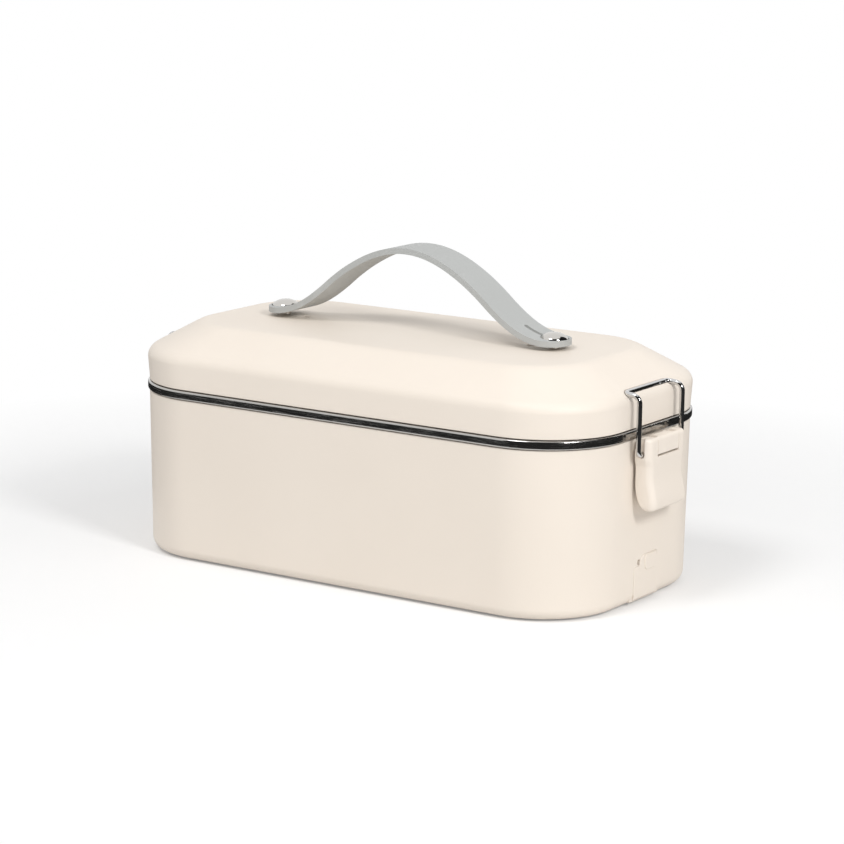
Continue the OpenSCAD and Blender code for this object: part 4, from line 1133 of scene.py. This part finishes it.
def fit_lever(verts, old, new, round_front):
    """Moves a section's corners to the next section, with their roundings drawn in where it is thin."""
    ease = min(1, 0.55 * (new.front - new.back) / round_front)
    was = min(1, 0.55 * (old.front - old.back) / round_front)
    for v in verts:
        front = v.co.x > (old.front + old.back) / 2
        edge = (old.front - v.co.x) if front else (v.co.x - old.back)
        side = old.half - abs(v.co.y)
        edge, side = edge / was * ease, side / was * ease
        v.co.x = new.front - edge if front else new.back + edge
        v.co.y = math.copysign(new.half - side, v.co.y)
        v.co.z = new.height


def lever_blank():
    """The lever's outer form, lofted upwards."""
    end, tall = BASE_HIGH.x, LEVER_TALL
    steps = [0, 0.12, 0.35, 0.7, 1.1, 1.6, 2.4, 3.5, 4.8, 6.2, 7.5, 9, 11, 13, 15]
    steps += [WAIST_TOP + k * 0.5 for k in range(9)] + [STEP_UP, STEP_UP + 0.4]
    steps += [tall - 1.6, tall - 1.2, tall - 0.8, tall - 0.4, tall - 0.12, tall]
    rows = []
    for up in steps:
        back, front, sides = lever_row(up)
        rows.append(LeverLoop(end + back, end + front, LEVER_HALF - sides, LEVER_LOW.z + up * MM))
    middle = rows[steps.index(15)]
    mesh = bmesh.new()
    verts = bmesh.ops.create_grid(mesh, x_segments=1, y_segments=1, size=0.5)["verts"]
    bmesh.ops.scale(mesh, vec=(middle.front - middle.back, 2 * middle.half, 1), verts=verts)
    bmesh.ops.translate(mesh, vec=((middle.front + middle.back) / 2, 0, 0), verts=verts)
    fronts = [v for v in verts if v.co.x > (middle.front + middle.back) / 2]
    backs = [v for v in verts if v not in fronts]
    for corners, radius, count in ((fronts, LEVER_SIDE_ROUND, 8), (backs, 0.5 * MM, 3)):
        round_corners(mesh, corners, radius, count)
    bmesh.ops.delete(mesh, geom=mesh.faces[:], context="FACES_ONLY")
    start = edges = mesh.edges[:]
    fit_lever(mesh.verts[:], middle, rows[0], LEVER_SIDE_ROUND)
    for old, new in zip(rows, rows[1:]):
        made = bmesh.ops.extrude_edge_only(mesh, edges=edges)["geom"]
        fit_lever(verts_of(made), old, new, LEVER_SIDE_ROUND)
        edges = edges_of(made)
    for loop in (start, edges):
        bmesh.ops.contextual_create(mesh, geom=loop)
    bmesh.ops.recalc_face_normals(mesh, faces=mesh.faces[:])
    return mesh


def lever_mesh():
    """A lever: blank, hollow, cheek recesses round the wire, bores, slot and seam lines."""
    clasp = box().clasp
    end, half = BASE_HIGH.x, LEVER_HALF
    hollow = half - LEVER_CHEEK
    mesh = lever_blank()
    inside_front = end + LEVER_OUT - LEVER_FRONT
    mesh = carved(mesh, block(
        (end - 1 * MM, -hollow, LEVER_LOW.z + 6 * MM), (inside_front, hollow, LEVER_HIGH.z - 1 * MM)))
    pin = (LEVER_PIN_LOW + LEVER_PIN_HIGH) / 2
    for side in (-1, 1):
        ear = side * 8 * MM
        mesh = carved(mesh, block(
            (end - 1 * MM, ear - 1.9 * MM, pin.z), (inside_front, ear + 1.9 * MM, pin.z + 5 * MM)))
        recess = clasp.wire / 2 + 0.3 * MM
        outer, floor = side * (half + 4 * MM), side * (half - 1 * MM)
        mesh = carved(mesh, rod(
            recess, (WIRE_PIVOT.x, floor, WIRE_PIVOT.z), (WIRE_PIVOT.x, outer, WIRE_PIVOT.z), 40))
        low_y, high_y = sorted((floor, outer))
        mesh = carved(mesh, block(
            (WIRE_PIVOT.x - recess * 0.999, low_y, WIRE_PIVOT.z),
            (WIRE_PIVOT.x + recess * 0.999, high_y, WIRE_PIVOT.z + 10 * MM)))
    pin_half = (LEVER_PIN_HIGH.y - LEVER_PIN_LOW.y) / 2 + 0.2 * MM
    for centre, radius, reach in (
            (WIRE_PIVOT, clasp.wire / 2 + 0.05 * MM, half + 2 * MM), (pin, 0.95 * MM, pin_half)):
        mesh = carved(mesh, rod(
            radius, (centre.x, -reach, centre.z), (centre.x, reach, centre.z), 28))
    front = end + LEVER_OUT
    slot = clasp.slot_width / 2
    mesh = carved(mesh, block(
        (front - LEVER_FRONT - 0.5 * MM, -slot, LEVER_SLOT_Z),
        (front + 2 * MM, slot, LEVER_SLOT_Z + clasp.slot_height)))
    for side in (-1, 1):
        seam = side * (slot - 0.15 * MM)
        mesh = carved(mesh, block(
            (front - 0.25 * MM, seam - 0.15 * MM, LEVER_SLOT_Z + 0.4 * MM),
            (front + 2 * MM, seam + 0.15 * MM, LEVER_HIGH.z + 1 * MM)))
    return mesh


def finish_both(right, piece, body, finish):
    """Finishes a clasp's piece at the right end and its copy at the left end."""
    for mesh, side in ((half_turn(right), "left"), (right, "right")):
        finished(
            mesh, f"{side}_{piece}", f"{side}_{body}", finish, [f"{side}_latch_{piece}"])


class LUNCHBOX_OT_levers(Operator):
    """Model the two clasp levers"""

    bl_idname = "lunch_box.levers"
    bl_label = "Clasp Levers"

    def execute(self, context):
        finish_both(lever_mesh(), "lever", "lever", "cream")
        return {"FINISHED"}


def wire_mesh():
    """A clasp wire: a circle drawn along the legs and spun round each bend, then mirrored."""
    wire = box().clasp.wire
    leg_x = WIRE_HIGH.x - wire / 2
    leg_y = WIRE_LOW.y + wire / 2
    bar_x = WIRE_LOW.x + wire / 2
    bar_z = WIRE_HIGH.z - BAR_DROP - wire / 2
    foot, shoulder, corner = 2.2 * MM, 3 * MM, WIRE_CORNER
    end_y = -(LEVER_HIGH.y - LEVER_CHEEK - 0.2 * MM)
    mesh = bmesh.new()
    made = bmesh.ops.create_circle(mesh, cap_ends=True, segments=24, radius=wire / 2)["verts"]
    rotate(mesh, made, math.pi / 2, "X")
    bmesh.ops.translate(mesh, vec=(leg_x, end_y, WIRE_PIVOT.z), verts=made)
    loop = mesh.edges[:]

    def draw(loop, vector):
        new = bmesh.ops.extrude_edge_only(mesh, edges=loop)["geom"]
        bmesh.ops.translate(mesh, vec=vector, verts=verts_of(new))
        return edges_of(new)

    def turn(loop, centre, axis):
        new = bmesh.ops.spin(
            mesh, geom=loop, cent=centre, axis=axis, angle=math.pi / 2, steps=8)["geom_last"]
        return edges_of(new)

    loop = draw(loop, (0, leg_y + foot - end_y, 0))
    loop = turn(loop, (leg_x, leg_y + foot, WIRE_PIVOT.z + foot), (-1, 0, 0))
    loop = draw(loop, (0, 0, bar_z - shoulder - WIRE_PIVOT.z - foot))
    loop = turn(loop, (leg_x - shoulder, leg_y, bar_z - shoulder), (0, -1, 0))
    loop = draw(loop, (bar_x + corner - leg_x + shoulder, 0, 0))
    loop = turn(loop, (bar_x + corner, leg_y + corner, bar_z), (0, 0, -1))
    draw(loop, (0, -leg_y - corner, 0))
    let_arms_fall(mesh, bar_x, bar_z - shoulder)
    for v in mesh.verts:
        if abs(v.co.y) < 1e-6:
            v.co.y = 0
    bmesh.ops.mirror(
        mesh, geom=mesh.verts[:] + mesh.edges[:] + mesh.faces[:], axis="Y", merge_dist=1e-6)
    bmesh.ops.remove_doubles(mesh, verts=mesh.verts[:], dist=1e-6)
    bmesh.ops.recalc_face_normals(mesh, faces=mesh.faces[:])
    return mesh


class LUNCHBOX_OT_wires(Operator):
    """Draw the two clasp wires"""

    bl_idname = "lunch_box.wires"
    bl_label = "Clasp Wires"

    def execute(self, context):
        finish_both(wire_mesh(), "wire", "loop", "wire")
        return {"FINISHED"}


# Inlet flap


TAB_LEFT = -1.05 * MM
TAB_RIGHT = 8.95 * MM
TAB_MARGIN = 0.3 * MM
TAB_TALL = 6.8 * MM
TAB_ROUND = 2 * MM


class LUNCHBOX_OT_inlet_flap(Operator):
    """Model the flap that covers the power inlet"""

    bl_idname = "lunch_box.inlet_flap"
    bl_label = "Inlet Flap"

    def execute(self, context):
        points, rounds = flap_outline(0)
        front = FLAP_BACK + FLAP_THICKNESS
        mesh = prism(points, "x", FLAP_BACK, front, rounds)
        rim = [e for e in mesh.edges if all(v.co.x > front - 1e-6 for v in e.verts)]
        soften(mesh, rim, 0.6 * MM, 4)
        tab_high, tab_low = FLAP_TOP - TAB_MARGIN, FLAP_TOP - TAB_MARGIN - TAB_TALL
        tab = prism(
            [(0, TAB_LEFT, tab_low), (0, TAB_RIGHT, tab_low), (0, TAB_RIGHT, tab_high),
             (0, TAB_LEFT, tab_high)], "x", front - 0.2 * MM, FLAP_HIGH.x,
            [(k, TAB_ROUND, 6) for k in range(4)])
        rim = [e for e in tab.edges if all(v.co.x > FLAP_HIGH.x - 1e-6 for v in e.verts)]
        soften(tab, rim, 0.48 * MM, 4)
        barrel = rod(
            HINGE_RADIUS, (HINGE_X, -FLAP_HALF, HINGE_Z), (HINGE_X, FLAP_HALF, HINGE_Z), 36)
        mesh = carved(mesh, tab, barrel, how="UNION")
        past = FLAP_HALF + 1 * MM
        mesh = carved(mesh, rod(HINGE_BORE, (HINGE_X, -past, HINGE_Z), (HINGE_X, past, HINGE_Z), 24))
        finished(mesh, "inlet_flap", "inlet_flap", "cream", ["inlet_cover"])
        return {"FINISHED"}


class LUNCHBOX_OT_node_finishes(Operator):
    """Give every construction piece that stays its own finish"""

    bl_idname = "lunch_box.node_finishes"
    bl_label = "Finishes of Inner Pieces"

    def execute(self, context):
        for name, finish in NODE_FINISH.items():
            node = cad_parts[name]
            node.data.materials.clear()
            node.data.materials.append(finish_of(finish))
        return {"FINISHED"}


# Stage


CAMERA_AZIMUTH = math.radians(33.475)
CAMERA_ELEVATION = math.radians(11.724)
CAMERA_ROLL = math.radians(0.71)
CAMERA_DISTANCE = 1354.738 * MM
CAMERA_FOCUS = 3033.242
CAMERA_ASIDE = 3.087 * MM
CAMERA_UP = 13.457 * MM
AIM_HEIGHT = 50 * MM
FRAME_PIXELS = 844
SENSOR = 36.0


def away_from_box(azimuth, elevation):
    """The direction from the box to a place round it."""
    level = math.cos(elevation)
    return Vector((math.sin(azimuth) * level, -math.cos(azimuth) * level, math.sin(elevation)))


def add_camera():
    """The camera at the photograph's viewpoint."""
    back = away_from_box(CAMERA_AZIMUTH, CAMERA_ELEVATION)
    right = Vector((math.cos(CAMERA_AZIMUTH), math.sin(CAMERA_AZIMUTH), 0))
    up = back.cross(right)
    aim = Vector((0, 0, AIM_HEIGHT)) + right * CAMERA_ASIDE + up * CAMERA_UP
    turned_right = right * math.cos(CAMERA_ROLL) + up * math.sin(CAMERA_ROLL)
    turned_up = -right * math.sin(CAMERA_ROLL) + up * math.cos(CAMERA_ROLL)
    data = bpy.data.cameras.new("Camera")
    data.sensor_width = SENSOR
    data.lens = SENSOR * CAMERA_FOCUS / FRAME_PIXELS
    camera = bpy.data.objects.new("Camera", data)
    turn = Matrix((turned_right, turned_up, back)).transposed().to_4x4()
    camera.matrix_world = Matrix.Translation(aim + back * CAMERA_DISTANCE) @ turn
    bpy.context.scene.collection.objects.link(camera)
    bpy.context.scene.camera = camera


def add_lamp(name, azimuth, elevation, distance, size, power):
    """A square soft lamp that looks at the box."""
    back = away_from_box(math.radians(azimuth), math.radians(elevation))
    data = bpy.data.lights.new(name, "AREA")
    data.size = size
    data.energy = power
    lamp = bpy.data.objects.new(name, data)
    lamp.location = back * distance + Vector((0, 0, AIM_HEIGHT))
    lamp.rotation_euler = (-back).to_track_quat("-Z", "Y").to_euler()
    bpy.context.scene.collection.objects.link(lamp)


def seen_rays(tree):
    """1 on camera, glossy and transmission rays."""
    path = put(tree, "ShaderNodeLightPath")
    seen = calc(tree, "MAXIMUM", path.outputs["Is Camera Ray"], path.outputs["Is Glossy Ray"])
    return calc(tree, "MAXIMUM", seen, path.outputs["Is Transmission Ray"])


def empty_finish(name):
    """A new material without nodes, and its tree."""
    finish = bpy.data.materials.new(name)
    finish.use_nodes = True
    finish.node_tree.nodes.clear()
    return finish, finish.node_tree


def floor_finish():
    """A pale floor that shows white where it is lit and keeps the box's shadow."""
    finish, tree = empty_finish("Pale floor")
    matt = put(tree, "ShaderNodeBsdfDiffuse", Color=(0.8, 0.8, 0.8, 1))
    lift = put(tree, "ShaderNodeEmission", Strength=FLOOR_LIFT)
    lifted = put(tree, "ShaderNodeAddShader", i0=matt.outputs[0], i1=lift.outputs[0])
    place = put(tree, "ShaderNodeTexCoord").outputs["Object"]
    away = put(tree, "ShaderNodeVectorMath", {"operation": "LENGTH"}, i0=place).outputs["Value"]
    white = put(tree, "ShaderNodeEmission", Strength=1.0)
    lifted = put(
        tree, "ShaderNodeMixShader", i0=spread(tree, away, *WHITE_FROM, 0, 1),
        i1=lifted.outputs[0], i2=white.outputs[0])
    seen = seen_rays(tree)
    mix = put(tree, "ShaderNodeMixShader", i0=seen, i1=matt.outputs[0], i2=lifted.outputs[0])
    put(tree, "ShaderNodeOutputMaterial", Surface=mix.outputs[0])
    return finish


def card_finish():
    """Black card that only reflections show: it darkens what metal and plastic mirror."""
    finish, tree = empty_finish("Black card")
    black = put(tree, "ShaderNodeBsdfDiffuse", Color=(0.03, 0.03, 0.03, 1))
    clear = put(tree, "ShaderNodeBsdfTransparent")
    mirrored = put(tree, "ShaderNodeLightPath").outputs["Is Glossy Ray"]
    mix = put(tree, "ShaderNodeMixShader", i0=mirrored, i1=clear.outputs[0], i2=black.outputs[0])
    put(tree, "ShaderNodeOutputMaterial", Surface=mix.outputs[0])
    return finish


FLOOR_SPAN = 8.0
FLOOR_LIFT = 0.17
WHITE_FROM = (0.19, 0.42)
BRIGHT_FLOOR = 0.2
CARD_REACH = 1.75
WALL_HEIGHT = 3.0
WALL_FROM = math.radians(-50)
WALL_SWEEP = math.radians(178)
WALL_STEPS = 16
CARD_ABOVE_FLOOR = 0.5 * MM


def add_floor():
    mesh = bmesh.new()
    bmesh.ops.create_grid(mesh, x_segments=1, y_segments=1, size=FLOOR_SPAN)
    floor = as_object(mesh, "floor")
    floor.data.materials.append(floor_finish())


def add_black_card():
    """Black card round the box on the floor, and a wall of it behind the camera."""
    mesh = bmesh.new()
    inner = bmesh.ops.create_circle(mesh, segments=64, radius=BRIGHT_FLOOR)["verts"]
    loop = list({e for v in inner for e in v.link_edges})
    made = bmesh.ops.extrude_edge_only(mesh, edges=loop)["geom"]
    reach = CARD_REACH / BRIGHT_FLOOR
    bmesh.ops.scale(mesh, vec=(reach, reach, 1), verts=verts_of(made))
    bmesh.ops.translate(mesh, vec=(0, 0, CARD_ABOVE_FLOOR), verts=mesh.verts[:])
    view = bpy.context.scene.camera.location.to_2d().normalized() * CARD_REACH
    foot = mesh.verts.new((view.x, view.y, CARD_ABOVE_FLOOR))
    head = mesh.verts.new((view.x, view.y, WALL_HEIGHT))
    post = mesh.edges.new((foot, head))
    rotate(mesh, [foot, head], WALL_FROM, "Z")
    bmesh.ops.spin(
        mesh, geom=[foot, head, post], cent=(0, 0, 0), axis=(0, 0, 1), angle=WALL_SWEEP,
        steps=WALL_STEPS)
    card = as_object(mesh, "black_card")
    card.data.materials.append(card_finish())


WORLD_LIGHT = 0.56
# Name, azimuth and elevation in degrees, distance and size in metres, power in watts
LAMPS = (("Key lamp", 68, 32, 1.6, 0.35, 10.2), ("Front lamp", -8, 56, 1.6, 0.5, 7.0))


def add_world():
    """Even white light, with a white background on the rays that show it."""
    world = bpy.data.worlds.new("Studio")
    world.use_nodes = True
    tree = world.node_tree
    back = tree.nodes["Background"]
    seen = seen_rays(tree)
    tree.links.new(
        calc(tree, "ADD", calc(tree, "MULTIPLY", seen, 1 - WORLD_LIGHT), WORLD_LIGHT),
        back.inputs["Strength"])
    back.inputs["Color"].default_value = (1, 1, 1, 1)
    bpy.context.scene.world = world


class LUNCHBOX_OT_stage(Operator):
    """Set the camera, lamps, pale floor and white background"""

    bl_idname = "lunch_box.stage"
    bl_label = "Stage"

    def execute(self, context):
        context.scene.view_settings.view_transform = "Standard"
        add_camera()
        add_floor()
        add_black_card()
        add_world()
        for lamp in LAMPS:
            add_lamp(*lamp)
        return {"FINISHED"}


OPERATORS = (
    LUNCHBOX_OT_stage, LUNCHBOX_OT_lower_casing, LUNCHBOX_OT_lid_casing, LUNCHBOX_OT_tray,
    LUNCHBOX_OT_strap, LUNCHBOX_OT_studs, LUNCHBOX_OT_levers, LUNCHBOX_OT_wires,
    LUNCHBOX_OT_inlet_flap, LUNCHBOX_OT_node_finishes)


class LUNCHBOX_PT_pieces(Panel):
    """Pieces and sizes of the lunch box"""

    bl_label = "Lunch Box"
    bl_idname = "LUNCHBOX_PT_pieces"
    bl_space_type = "VIEW_3D"
    bl_region_type = "UI"
    bl_category = "Lunch Box"

    def draw(self, context):
        for operator in OPERATORS:
            self.layout.operator(operator.bl_idname)
        for part in ("casing", "lid", "strap", "clasp", "colours"):
            settings = getattr(context.scene.lunch_box, part)
            column = self.layout.column(align=True)
            column.label(text=part.capitalize())
            for name in settings.__annotations__:
                column.prop(settings, name)


CLASSES = (
    CasingSizes, LidSizes, StrapSizes, ClaspSizes, FinishColours, LunchBox, *OPERATORS,
    LUNCHBOX_PT_pieces)


def register():
    for item in CLASSES:
        bpy.utils.register_class(item)
    bpy.types.Scene.lunch_box = PointerProperty(type=LunchBox)


def unregister():
    del bpy.types.Scene.lunch_box
    for item in reversed(CLASSES):
        bpy.utils.unregister_class(item)


def main():
    register()
    for operator in OPERATORS:
        family, name = operator.bl_idname.split(".")
        getattr(getattr(bpy.ops, family), name)()


if __name__ == "__main__":
    main()
